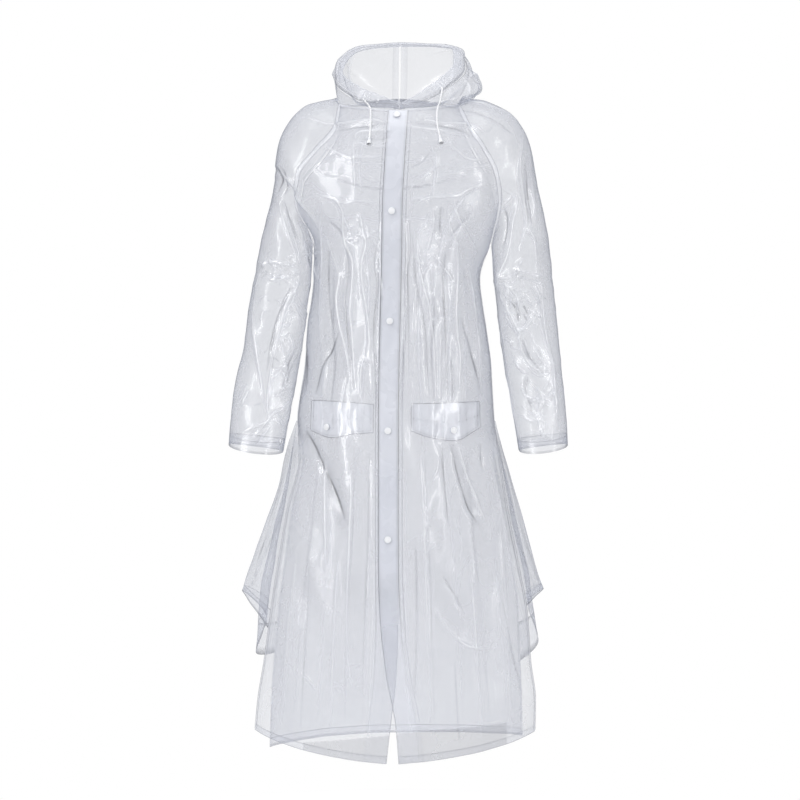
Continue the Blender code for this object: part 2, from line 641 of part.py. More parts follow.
# ------------------------------------------------------------------ gussets
for side, name in (("r", "gusset_right"), ("l", "gusset_left")):
    heights = [[z] * 5 for z in [GUSSET_TOP] + [p.z for p in EDGE_LINES[side, "front"] if -0.93 < p.z < GUSSET_TOP - 0.01]]
    last = heights[-1][0]
    heights += [[last + (hem - last) * t for hem in GUSSET_HEMS[side]] for t in (0.4, 0.75, 1.0)]
    sheet(name, film[name], [[gusset_point(side, c, row) for c in span(0, 1, 10)] for row in heights], from_axis)

# ------------------------------------------------------------------ hood
for side, name in (("r", "hood_right"), ("l", "hood_left")):
    columns = []
    for q in span(TURN[side]["q"][0], 1, 5)[:-1] + span(1, 2, 6)[:-1] + span(2, 2.994, 6):
        p = hood_curve(side, q)
        end = hood_at(side, q, casing_width(q) + 0.0022)[2]
        columns.append([bezier(p, end * k / 8) for k in range(9)])
    sheet(name, film[name], columns, lambda p: Vector((p.x, p.y, 0.3 * (p.z - 0.05))))

# ------------------------------------------------------------------ hood casing, a flat tube open at both ends
def casing_frame(side, q, step=0.02):
    """The middle of the casing with its direction along, to the rim and out."""
    def rim_and_low(q):
        return hood_at(side, q, 0.0)[0], hood_at(side, q, casing_width(q))[0]

    rim, low = rim_and_low(q)
    middle, across = (rim + low) / 2, (rim - low).normalized()
    ahead = sum(rim_and_low(min(q + step, 2.985)), Vector()) - sum(rim_and_low(max(q - step, TURN[side]["q"][0])), Vector())
    along = ahead.normalized()
    if side == "l":
        along = -along
    across = (across - along * across.dot(along)).normalized()
    out = across.cross(along).normalized()
    return middle, along, across, out


def cord_middle(side, q):
    """The middle of the cord in the casing, which lies nearer the casing's seam than the rim."""
    middle, _, across, _ = casing_frame(side, q)
    return middle - across * max(CORD_FROM_RIM - casing_width(q) / 2, 0.0)


def flat_ring(half_width, half_height, count=8):
    """A flattened ring of points, as (across, out)."""
    ring = []
    for i in range(count):
        a = 2 * math.pi * i / count
        ring.append((half_width * math.copysign(abs(math.cos(a)) ** 0.8, math.cos(a)), half_height * math.copysign(abs(math.sin(a)) ** 0.45, math.sin(a))))
    return ring


def exit_row(side):
    """Where along the casing the cord comes out."""
    low, high = TURN[side]["q"][0], 2.0
    for _ in range(30):
        mid = (low + high) / 2
        reached = abs(casing_frame(side, mid)[0].x - 0.0122) > abs(CORD_EXIT_X[side] - 0.0122)
        low, high = (low, mid) if reached else (mid, high)
    return (low + high) / 2


EXITS = {side: exit_row(side) for side in SIDES}
FRONT_STATIONS = {side: sorted([EXITS[side]] + [q for q in span(TURN[side]["q"][0], 1, 5)[:-1] if abs(q - EXITS[side]) > 0.08]) for side in SIDES}
HALF_WAY = [1, 1.25, 1.5, 1.75] + span(2, 2.97, 6)
STATIONS = [("r", q) for q in FRONT_STATIONS["r"] + HALF_WAY] + [("l", q) for q in reversed(FRONT_STATIONS["l"] + HALF_WAY)]


def casing():
    bm = bmesh.new()
    outer, inner = [], []
    for side, q in STATIONS:
        middle, _, across, out = casing_frame(side, q)
        for rings, shrink in ((outer, 0.0), (inner, CASING_WALL)):
            ring = flat_ring(casing_width(q) / 2 - 0.0003 - shrink, CASING_HALF - shrink)
            rings.append([bm.verts.new(middle + across * a + out * b) for a, b in ring])
    count = len(outer[0])
    for rings in (outer, inner):
        for a, b in zip(rings, rings[1:]):
            for i in range(count):
                j = (i + 1) % count
                bm.faces.new((a[i], a[j], b[j], b[i]))
    for k in (0, -1):
        for i in range(count):
            j = (i + 1) % count
            bm.faces.new((outer[k][i], outer[k][j], inner[k][j], inner[k][i]))
    bmesh.ops.recalc_face_normals(bm, faces=bm.faces)
    mesh = bpy.data.meshes.new("hood_casing")
    bm.to_mesh(mesh)
    bm.free()
    return place("hood_casing", mesh, film["hood_casing"])


casing_tube = casing()


for side, name in (("r", "exit_cut_right"), ("l", "exit_cut_left")):
    middle, along, across, out = casing_frame(side, EXITS[side])
    bpy.ops.mesh.primitive_cylinder_add(vertices=12, radius=CORD / 2 + 0.0010, depth=0.006)
    cutter = bpy.context.object
    cutter.name = name
    cutter.location = cord_middle(side, EXITS[side]) + out * 0.0030
    cutter.rotation_mode = "QUATERNION"
    cutter.rotation_quaternion = out.to_track_quat("Z", "Y")
    for home in list(cutter.users_collection):
        home.objects.unlink(cutter)
    cutters.objects.link(cutter)
    cutter.display_type = "WIRE"
    cutter.hide_render = True
    cut = casing_tube.modifiers.new(name, "BOOLEAN")
    cut.operation = "DIFFERENCE"
    cut.solver = "EXACT"
    cut.object = cutter


# ------------------------------------------------------------------ drawcord
def tube(name, points, diameter, mat):
    curve = bpy.data.curves.new(name, "CURVE")
    curve.dimensions = "3D"
    curve.bevel_depth = diameter / 2
    curve.bevel_resolution = 2
    curve.use_fill_caps = True
    spline = curve.splines.new("POLY")
    spline.points.add(len(points) - 1)
    for knot, p in zip(spline.points, points):
        knot.co = (*p, 1)
    return place(name, curve, mat)


def along_curve(points, spacing):
    """Evenly spaced points of a smooth curve through a few."""
    fine = []
    for i in range(len(points) - 1):
        a, b = points[i], points[i + 1]
        da = (b - points[i - 1]) / 2 if i else b - a
        db = (points[i + 2] - a) / 2 if i + 2 < len(points) else b - a
        for k in range(12):
            t = k / 12
            fine.append(a * (1 + 2 * t) * (1 - t) ** 2 + da * t * (1 - t) ** 2 + b * t * t * (3 - 2 * t) - db * t * t * (1 - t))
    fine.append(points[-1])
    return evenly(fine, spacing)


def evenly(fine, spacing):
    """Evenly spaced points along straight runs."""
    total = sum((b - a).length for a, b in zip(fine, fine[1:]))
    count = max(round(total / spacing), 2)
    even, want, run = [fine[0]], total / count, 0.0
    for a, b in zip(fine, fine[1:]):
        step = (b - a).length
        while run + step >= want * len(even) and len(even) < count:
            even.append(a + (b - a) * ((want * len(even) - run) / step))
        run += step
    even.append(fine[-1])
    return even


inside = evenly([cord_middle(side, q) for side, q in STATIONS if q > EXITS[side] - 0.001], 0.0088)
gap_in = CORD / 2 + 0.0008
inside[0] += (inside[1] - inside[0]).normalized() * gap_in
inside[-1] += (inside[-2] - inside[-1]).normalized() * gap_in
tube("cord_casing", inside, CORD, white_cord)


def free_end(side):
    """The cord's free end, from inside the casing's hole down over the chest."""
    start, out = cord_middle(side, EXITS[side]), casing_frame(side, EXITS[side])[3]
    knots = [start + out * 0.0002, start + out * 0.0050, start + out * 0.0080 + Vector((0, 0, -0.0030))]
    ends = CORD_ENDS[side]
    for x, z, off in zip(ends["x"], ends["z"], ends["off"]):
        knots.append(front_place(side, x, z, off)[0])
    return along_curve(knots, 0.0064)


def profile(name, pairs):
    """A turned shape's profile, from its top down its outer side, in the XZ plane."""
    mesh = bpy.data.meshes.new(name)
    mesh.from_pydata([(r, 0, z) for r, z in pairs], [(i, i + 1) for i in range(len(pairs) - 1)], [])
    return mesh


def turned(name, mesh, mat, location, axis, steps=16):
    made = place(name, mesh, mat)
    made.location = location
    made.rotation_mode = "QUATERNION"
    made.rotation_quaternion = axis.to_track_quat("Z", "Y")
    screw = made.modifiers.new("turn", "SCREW")
    screw.steps = screw.render_steps = steps
    screw.use_merge_vertices = True
    screw.merge_threshold = 0.00005
    screw.use_smooth_shade = True
    return made


# a bell: narrow at the top, flared at the bottom, with a small hollow under it
BELL = ((0.0, 0.0), (0.0021, 0.0), (0.0029, -0.0010), (0.0032, -0.0055), (0.0040, -0.0105), (0.0048, -0.0135), (0.0048, -0.0150), (0.0038, -0.0150), (0.0026, -0.0110), (0.0, -0.0105))
bell = profile("bell", BELL)
for side, cord_name, bell_name in (("r", "cord_right", "toggle_right"), ("l", "cord_left", "toggle_left")):
    route = free_end(side)
    tube(cord_name, route, CORD, white_cord)
    down = (route[-1] - route[-2]).normalized()
    tilt = (down + Vector((0, -0.22, -0.1))).normalized()
    turned(bell_name, bell, white_plastic["toggle"], route[-1] + down * 0.0006, -tilt, 12)

# ------------------------------------------------------------------ pocket flaps
for side, name in (("r", "flap_right"), ("l", "flap_left")):
    edges = FLAPS[side]
    rows = []
    for x in span(edges["x"][0], edges["x"][-1], 8):
        top, low = read(edges, "top", x), read(edges, "low", x)
        rows.append([front_place(side, x, top + (low - top) * t, FLAP_LIFT + 0.0016 * t)[0] for t in span(0, 1, 3)])
    sheet(name, film[name], rows, from_axis)

# ------------------------------------------------------------------ snaps
R = SNAP / 2
CAP = ((0.0, 0.0024), (R * 0.45, 0.0022), (R * 0.62, 0.0017), (R * 0.80, 0.0019), (R * 0.95, 0.0015), (R, 0.0008), (R, 0.0), (0.0, 0.0))
cap = profile("cap", CAP)
LIFT = WALL / 2 + 0.0006  # from a layer's middle to a snap's flat underside
for i, z in enumerate(FRONT_SNAPS):
    v = row_at(FRONT, "z", z) if z < -0.262 else None
    if v is None:
        low, high = 0.0, 5.0
        for _ in range(30):
            v = (low + high) / 2
            low, high = (v, high) if read(FRONT, "z", v) > z else (low, v)
    point, normal = strip_place(v, read(FRONT, "lap", v), 1)
    turned(f"snap_front_{i + 1}", cap, white_plastic["snap"], point + normal * LIFT, normal)
for side, name in (("r", "snap_flap_right"), ("l", "snap_flap_left")):
    x, z = FLAP_SNAPS[side]
    point, normal = front_place(side, x, z, FLAP_LIFT + 0.0014)
    turned(name, cap, white_plastic["snap"], point + normal * LIFT, normal)

C = CUFF_SNAP / 2
RING = ((C * 0.50, 0.0), (C * 0.56, 0.0012), (C * 0.75, 0.0016), (C * 0.94, 0.0012), (C, 0.0), (C * 0.50, 0.0))
ring = profile("ring", RING)
point, normal = lifted(lambda a, b: sleeve_point("r", a, b), 10.60, -0.84, WALL / 2 + 0.0007, Vector((0.3, -1, 0)))
turned("snap_cuff_right", ring, white_plastic["snap"], point, normal)
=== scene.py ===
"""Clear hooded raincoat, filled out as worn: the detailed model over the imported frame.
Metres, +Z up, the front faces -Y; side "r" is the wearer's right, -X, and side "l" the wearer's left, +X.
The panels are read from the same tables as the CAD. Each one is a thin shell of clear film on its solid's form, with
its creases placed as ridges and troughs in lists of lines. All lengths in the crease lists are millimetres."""

import math

import bpy
import numpy as np
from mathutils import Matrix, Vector


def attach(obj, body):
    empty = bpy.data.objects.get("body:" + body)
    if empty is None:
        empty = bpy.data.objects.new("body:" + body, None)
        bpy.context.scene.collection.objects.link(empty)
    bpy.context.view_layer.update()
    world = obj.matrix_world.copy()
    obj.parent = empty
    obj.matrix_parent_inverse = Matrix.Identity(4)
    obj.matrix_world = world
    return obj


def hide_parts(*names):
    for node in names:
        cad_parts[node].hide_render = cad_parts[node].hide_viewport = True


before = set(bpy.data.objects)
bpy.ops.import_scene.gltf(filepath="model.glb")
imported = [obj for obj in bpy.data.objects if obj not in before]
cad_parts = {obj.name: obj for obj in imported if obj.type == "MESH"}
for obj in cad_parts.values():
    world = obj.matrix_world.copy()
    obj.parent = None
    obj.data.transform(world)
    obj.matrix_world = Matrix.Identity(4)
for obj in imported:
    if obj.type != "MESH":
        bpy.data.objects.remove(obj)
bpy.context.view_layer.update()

# ------------------------------------------------------------------ driving sizes, metres, as in the CAD
SEAM = 0.0007
LAYER = 0.0019
STRIP_WIDTH = 0.0385
FLAP_LIFT = 0.0023
CASING_WIDTH = 0.0255
CASING_FRONT_WIDTH = 0.0095
CASING_HALF = 0.0039
CORD_FROM_RIM = 0.0195
CORD = 0.0032
SNAP = 0.013
CUFF_SNAP = 0.0105
WALL = 0.0012
FRONT_HEM = 0.0150  # hem bands, height
BACK_HEM = 0.0165
CUFF_HEM = 0.0260
TAPE = 0.0052  # half a seam tape's width


def table(columns, *rows):
    return {name: np.array([row[i] for row in rows], float) for i, name in enumerate(columns.split())}


def read(tab, column, v):
    """A smooth curve through one column of a table, without overshoot, read at rows v."""
    vs, ys = tab[next(iter(tab))], tab[column]
    v = np.clip(v, vs[0], vs[-1])
    i = np.clip(np.searchsorted(vs, v, side="right") - 1, 0, len(vs) - 2)
    secant = np.diff(ys) / np.diff(vs)
    slope = np.empty(len(vs))
    slope[0], slope[-1] = secant[0], secant[-1]
    a, b = secant[:-1], secant[1:]
    both = a + b
    slope[1:-1] = np.where(a * b <= 0, 0.0, 2 * a * b / np.where(both == 0, 1.0, both))
    h = vs[i + 1] - vs[i]
    t = (v - vs[i]) / h
    return ys[i] * (1 + 2 * t) * (1 - t) ** 2 + slope[i] * h * t * (1 - t) ** 2 + ys[i + 1] * t * t * (3 - 2 * t) - slope[i + 1] * h * t * t * (1 - t)


def smooth(a, b, x):
    t = np.clip((x - a) / (b - a), 0.0, 1.0)
    return t * t * (3 - 2 * t)


# ------------------------------------------------------------------ tables of the body
# lap is how far each front runs past the centre line; below zero the fronts part in a slit
FRONT = table(
    "v x y z lap",
    (0, 0.004, -0.105, -0.0185, 0.0170),
    (1, 0.003, -0.124, -0.055, 0.0185),
    (2, 0.000, -0.136, -0.100, 0.0185),
    (3, -0.003, -0.143, -0.150, 0.0185),
    (4, -0.0055, -0.146, -0.200, 0.0185),
    (5, -0.0065, -0.144, -0.262, 0.0185),
    (6, -0.0075, -0.138, -0.330, 0.0185),
    (7, -0.0095, -0.136, -0.420, 0.0185),
    (8, -0.0115, -0.142, -0.500, 0.0185),
    (9, -0.0130, -0.150, -0.600, 0.0185),
    (10, -0.0130, -0.157, -0.680, 0.0185),
    (11, -0.0130, -0.167, -0.780, 0.0185),
    (12, -0.0125, -0.176, -0.880, 0.0185),
    (13, -0.0105, -0.184, -0.970, 0.0170),
    (14, -0.0065, -0.191, -1.070, 0.0100),
    (15, -0.0030, -0.197, -1.160, -0.0035),
    (16, -0.0040, -0.201, -1.234, -0.0108),
)
BACK = table(
    "v x y z",
    (0, 0.008, 0.085, 0.035),
    (1, 0.008, 0.105, -0.020),
    (2, 0.006, 0.121, -0.080),
    (3, 0.004, 0.130, -0.140),
    (4, 0.002, 0.133, -0.200),
    (5, 0.001, 0.131, -0.262),
    (6, 0.000, 0.125, -0.330),
    (7, -0.002, 0.122, -0.420),
    (8, -0.004, 0.131, -0.500),
    (9, -0.005, 0.143, -0.600),
    (10, -0.005, 0.153, -0.680),
    (11, -0.005, 0.166, -0.780),
    (12, -0.005, 0.176, -0.880),
    (13, -0.005, 0.185, -0.970),
    (14, -0.005, 0.191, -1.060),
    (15, -0.004, 0.197, -1.150),
    (16, -0.003, 0.201, -1.252),
)
# the seam at each side: raglan seam to row 5, side seam to row 9, edges of the gusset to row 16; turn is the angle that
# a row has turned through there; the back's own columns end in b
SEAMS = {
    "r": table(
        "v x y z turn xb yb zb",
        (0, -0.106, -0.040, 0.004, 62, -0.106, 0.036, 0.012),
        (1, -0.112, -0.078, -0.043, 52, -0.112, 0.068, -0.034),
        (2, -0.150, -0.098, -0.095, 56, -0.150, 0.090, -0.090),
        (3, -0.184, -0.090, -0.140, 64, -0.184, 0.086, -0.138),
        (4, -0.188, -0.062, -0.190, 74, -0.188, 0.060, -0.190),
        (5, -0.157, 0.000, -0.262, 90, -0.157, 0.000, -0.262),
        (6, -0.1585, 0.000, -0.330, 90, -0.1585, 0.000, -0.330),
        (7, -0.1690, 0.000, -0.420, 90, -0.1690, 0.000, -0.420),
        (8, -0.1755, 0.000, -0.500, 90, -0.1755, 0.000, -0.500),
        (9, -0.1890, 0.000, -0.600, 90, -0.1890, 0.000, -0.600),
        (10, -0.1840, -0.060, -0.680, 67, -0.184, 0.060, -0.680),
        (11, -0.2070, -0.072, -0.780, 64, -0.205, 0.072, -0.780),
        (12, -0.2240, -0.080, -0.880, 63, -0.220, 0.080, -0.880),
        (13, -0.2370, -0.086, -0.970, 62, -0.232, 0.086, -0.970),
        (14, -0.2490, -0.090, -1.060, 62, -0.241, 0.092, -1.060),
        (15, -0.2600, -0.093, -1.130, 62, -0.248, 0.096, -1.150),
        (16, -0.2660, -0.094, -1.190, 62, -0.252, 0.098, -1.262),
    ),
    "l": table(
        "v x y z turn xb yb zb",
        (0, 0.121, -0.040, 0.004, 62, 0.121, 0.036, 0.012),
        (1, 0.138, -0.078, -0.041, 52, 0.138, 0.068, -0.034),
        (2, 0.168, -0.098, -0.090, 56, 0.168, 0.090, -0.088),
        (3, 0.192, -0.092, -0.135, 64, 0.192, 0.086, -0.135),
        (4, 0.200, -0.066, -0.185, 74, 0.200, 0.062, -0.187),
        (5, 0.1845, 0.000, -0.262, 90, 0.1845, 0.000, -0.262),
        (6, 0.1655, 0.000, -0.330, 90, 0.1655, 0.000, -0.330),
        (7, 0.1765, 0.000, -0.420, 90, 0.1765, 0.000, -0.420),
        (8, 0.1865, 0.000, -0.500, 90, 0.1865, 0.000, -0.500),
        (9, 0.1930, 0.000, -0.600, 90, 0.1930, 0.000, -0.600),
        (10, 0.2010, -0.060, -0.680, 67, 0.198, 0.060, -0.680),
        (11, 0.2170, -0.072, -0.780, 64, 0.215, 0.072, -0.780),
        (12, 0.2365, -0.080, -0.880, 63, 0.232, 0.080, -0.880),
        (13, 0.2525, -0.086, -0.970, 62, 0.246, 0.086, -0.970),
        (14, 0.2585, -0.090, -1.060, 62, 0.250, 0.092, -1.060),
        (15, 0.2670, -0.093, -1.130, 62, 0.254, 0.096, -1.150),
        (16, 0.2660, -0.094, -1.193, 62, 0.256, 0.098, -1.238),
    ),
}
# the largest folds: from (xt, zt) down to (xb, zb), half width and depth; a valley is below zero
FRONT_FOLDS = table(
    "xt zt xb zb half depth",
    (-0.150, -0.60, -0.100, -0.86, 0.021, -0.0060),
    (-0.098, -0.62, -0.072, -1.12, 0.024, 0.0045),
    (-0.190, -0.78, -0.205, -1.16, 0.022, 0.0040),
    (-0.060, -0.82, -0.062, -1.20, 0.020, -0.0035),
    (0.084, -0.58, 0.096, -0.86, 0.019, -0.0060),
    (0.112, -0.60, 0.150, -0.90, 0.021, 0.0050),
    (0.056, -0.74, 0.062, -1.20, 0.021, 0.0040),
    (0.172, -0.80, 0.186, -1.18, 0.022, -0.0040),
)
BACK_FOLDS = table(
    "xt zt xb zb half depth",
    (-0.120, -0.56, -0.150, -1.20, 0.024, -0.0055),
    (-0.055, -0.42, -0.075, -1.22, 0.024, 0.0050),
    (0.030, -0.50, 0.020, -1.20, 0.022, -0.0050),
    (0.090, -0.40, 0.120, -1.22, 0.024, 0.0055),
    (0.150, -0.66, 0.190, -1.20, 0.022, -0.0045),
)

# ------------------------------------------------------------------ tables of the arms
# each ring runs from the top or outer point (xo, y, zo) over handles of length m to its seam; the raglan part to row 5
# ends on the body's seams, with a handle (hx, hy, hz) there, and the tube below closes under the arm at (xi, y, zi)
ARMS = {
    "r": table(
        "v xo y zo m xi zi hx hy hz",
        (0, -0.1125, 0.000, 0.0220, 0.016, 0, 0, 0.006, -0.012, 0.008),
        (1, -0.1600, 0.000, 0.0120, 0.045, 0, 0, 0.022, 0.004, 0.030),
        (2, -0.2030, 0.000, -0.0200, 0.060, 0, 0, 0.028, -0.004, 0.040),
        (3, -0.2270, 0.000, -0.0700, 0.064, 0, 0, 0.030, -0.004, 0.034),
        (4, -0.2375, 0.000, -0.1600, 0.068, 0, 0, 0.028, 0.022, 0.018),
        (5, -0.2620, 0.000, -0.2620, 0.093, -0.1605, -0.265, 0, 0.093, 0),
        (6, -0.2715, -0.002, -0.3160, 0.088, -0.1630, -0.318, 0, 0.088, 0),
        (7, -0.2850, -0.008, -0.3940, 0.080, -0.1725, -0.396, 0, 0.080, 0),
        (8, -0.2925, -0.016, -0.4600, 0.076, -0.1805, -0.463, 0, 0.076, 0),
        (9, -0.3080, -0.026, -0.5265, 0.073, -0.1925, -0.532, 0, 0.073, 0),
        (10, -0.3160, -0.038, -0.5950, 0.072, -0.2050, -0.603, 0, 0.072, 0),
        (11, -0.3195, -0.048, -0.6500, 0.069, -0.2145, -0.664, 0, 0.069, 0),
    ),
    "l": table(
        "v xo y zo m xi zi hx hy hz",
        (0, 0.1295, 0.000, 0.0220, 0.016, 0, 0, 0.006, -0.012, 0.008),
        (1, 0.1860, 0.000, 0.0120, 0.045, 0, 0, 0.022, 0.004, 0.030),
        (2, 0.2320, 0.000, -0.0160, 0.060, 0, 0, 0.028, -0.004, 0.040),
        (3, 0.2600, 0.000, -0.0620, 0.064, 0, 0, 0.030, -0.004, 0.034),
        (4, 0.2790, 0.000, -0.1550, 0.068, 0, 0, 0.028, 0.022, 0.018),
        (5, 0.3000, 0.000, -0.2620, 0.093, 0.1885, -0.265, 0, 0.093, 0),
        (6, 0.3055, -0.002, -0.3160, 0.088, 0.1915, -0.318, 0, 0.088, 0),
        (7, 0.3125, -0.008, -0.3940, 0.080, 0.1995, -0.396, 0, 0.080, 0),
        (8, 0.3185, -0.016, -0.4600, 0.076, 0.2085, -0.463, 0, 0.076, 0),
        (9, 0.3240, -0.026, -0.5265, 0.073, 0.2185, -0.532, 0, 0.073, 0),
        (10, 0.3300, -0.038, -0.5950, 0.072, 0.2295, -0.603, 0, 0.072, 0),
        (11, 0.3320, -0.048, -0.6500, 0.069, 0.2385, -0.662, 0, 0.069, 0),
    ),
}
ARM_ROWS = 11

# ------------------------------------------------------------------ tables of the hood
# the opening's rim by the angle round the neck, front 0 to back 180
RIM = {
    "r": table(
        "angle x y z",
        (0, 0.0122, -0.098, -0.0040),
        (30, -0.020, -0.103, 0.008),
        (60, -0.072, -0.082, 0.034),
        (90, -0.103, -0.020, 0.0723),
        (120, -0.089, 0.045, 0.1122),
        (150, -0.060, 0.075, 0.134),
        (180, 0.010, 0.085, 0.143),
    ),
    "l": table(
        "angle x y z",
        (0, 0.0122, -0.098, -0.0040),
        (30, 0.0475, -0.094, 0.0180),
        (60, 0.0865, -0.058, 0.0512),
        (90, 0.1140, -0.005, 0.090),
        (120, 0.1155, 0.045, 0.126),
        (150, 0.0898, 0.078, 0.1406),
        (180, 0.010, 0.085, 0.143),
    ),
}
# how far the hood bulges out and up, near the neck (1) and near the rim (2)
BULGE = {
    "r": table(
        "angle out1 up1 out2 up2",
        (0, 0.001, 0.005, 0.001, -0.005),
        (45, 0.006, 0.008, 0.003, -0.014),
        (90, 0.004, 0.018, 0.010, 0.006),
        (120, 0.006, 0.012, 0.062, 0.020),
        (150, 0.105, -0.040, 0.072, 0.052),
        (180, 0.145, -0.070, 0.075, 0.060),
    ),
    "l": table(
        "angle out1 up1 out2 up2",
        (0, 0.001, 0.005, 0.001, -0.005),
        (45, 0.014, 0.008, 0.005, -0.020),
        (90, 0.084, 0.006, 0.014, -0.008),
        (120, 0.068, 0.010, 0.054, 0.020),
        (150, 0.110, -0.040, 0.070, 0.040),
        (180, 0.145, -0.070, 0.075, 0.060),
    ),
}
# the rim's angle by place along the neck seam, from the hood's front edge to the middle of the back
TURN = {
    "r": table("q angle", (-0.02, 1), (0.2, 22), (0.4, 40), (0.6, 54), (0.8, 65), (1, 75), (1.5, 90), (2, 107), (2.3, 124), (2.6, 145), (3, 180)),
    "l": table("q angle", (0.10, 1), (0.2, 9), (0.3, 20), (0.4, 31), (0.5, 41), (0.6, 50), (0.8, 64), (1, 77), (1.5, 90), (2, 106), (2.3, 124), (2.6, 145), (3, 180)),
}

# ------------------------------------------------------------------ tables of the gussets
# from the front's edge over the outer tip (1), the inner valley and the rear tip (2) to the back's edge: x by height
GUSSETS = {
    "r": table(
        "z x1 y1 xm ym x2 y2",
        (-1.070, -0.335, -0.020, -0.262, 0.030, -0.276, 0.058),
        (-0.936, -0.297, -0.014, -0.246, 0.026, -0.266, 0.054),
        (-0.8775, -0.277, -0.010, -0.236, 0.022, -0.252, 0.050),
        (-0.815, -0.255, -0.006, -0.226, 0.018, -0.238, 0.044),
        (-0.735, -0.228, -0.002, -0.210, 0.014, -0.216, 0.036),
        (-0.665, -0.2125, 0.000, -0.200, 0.010, -0.202, 0.026),
        (-0.600, -0.1905, 0.000, -0.1900, 0.001, -0.1895, 0.002),
    ),
    "l": table(
        "z x1 y1 xm ym x2 y2",
        (-1.070, 0.330, -0.020, 0.272, 0.030, 0.288, 0.058),
        (-0.936, 0.290, -0.014, 0.258, 0.026, 0.268, 0.054),
        (-0.9145, 0.283, -0.012, 0.255, 0.024, 0.266, 0.053),
        (-0.848, 0.263, -0.008, 0.240, 0.020, 0.250, 0.047),
        (-0.780, 0.244, -0.004, 0.226, 0.016, 0.234, 0.040),
        (-0.702, 0.222, 0.000, 0.212, 0.012, 0.215, 0.030),
        (-0.640, 0.204, 0.000, 0.199, 0.006, 0.199, 0.014),
        (-0.600, 0.1945, 0.000, 0.1940, 0.001, 0.1935, 0.002),
    ),
}
GUSSET_TOP = -0.606
# hem heights at the front's edge, tip 1, valley, tip 2 and the back's edge
GUSSET_HEMS = {"r": (-1.000, -0.936, -0.990, -1.066, -1.072), "l": (-0.957, -0.932, -0.966, -1.045, -1.088)}

# ------------------------------------------------------------------ tables of the trim
# pocket flaps: top and bottom edges by x
FLAPS = {
    "r": table("x top low", (-0.158, -0.5655, -0.6235), (-0.115, -0.5675, -0.6370), (-0.080, -0.5700, -0.6300), (-0.0395, -0.5735, -0.6270)),
    "l": table("x top low", (0.0300, -0.5725, -0.6235), (0.0720, -0.5715, -0.6385), (0.1110, -0.5700, -0.6430), (0.1600, -0.5680, -0.6180)),
}
FRONT_SNAPS = (-0.0300, -0.2130, -0.4180, -0.6235, -0.8245)  # heights of the five snaps down the front
FLAP_SNAPS = {"r": (-0.1251, -0.6165), "l": (0.1091, -0.6230)}
# the cord's free ends: x, height, and how far off the cloth
CORD_ENDS = {
    "r": table("x z off", (-0.0468, -0.0085, 0.0100), (-0.0446, -0.0200, 0.0080), (-0.0442, -0.0320, 0.0055), (-0.0450, -0.0509, 0.0034), (-0.0468, -0.0750, 0.0044)),
    "l": table("x z off", (0.0802, -0.0040, 0.0135), (0.0788, -0.0130, 0.0105), (0.0780, -0.0260, 0.0062), (0.0790, -0.0471, 0.0034), (0.0838, -0.0730, 0.0044)),
}
CORD_EXIT_X = {"r": -0.0495, "l": 0.0810}
SIDES = {"r": -1.0, "l": 1.0}


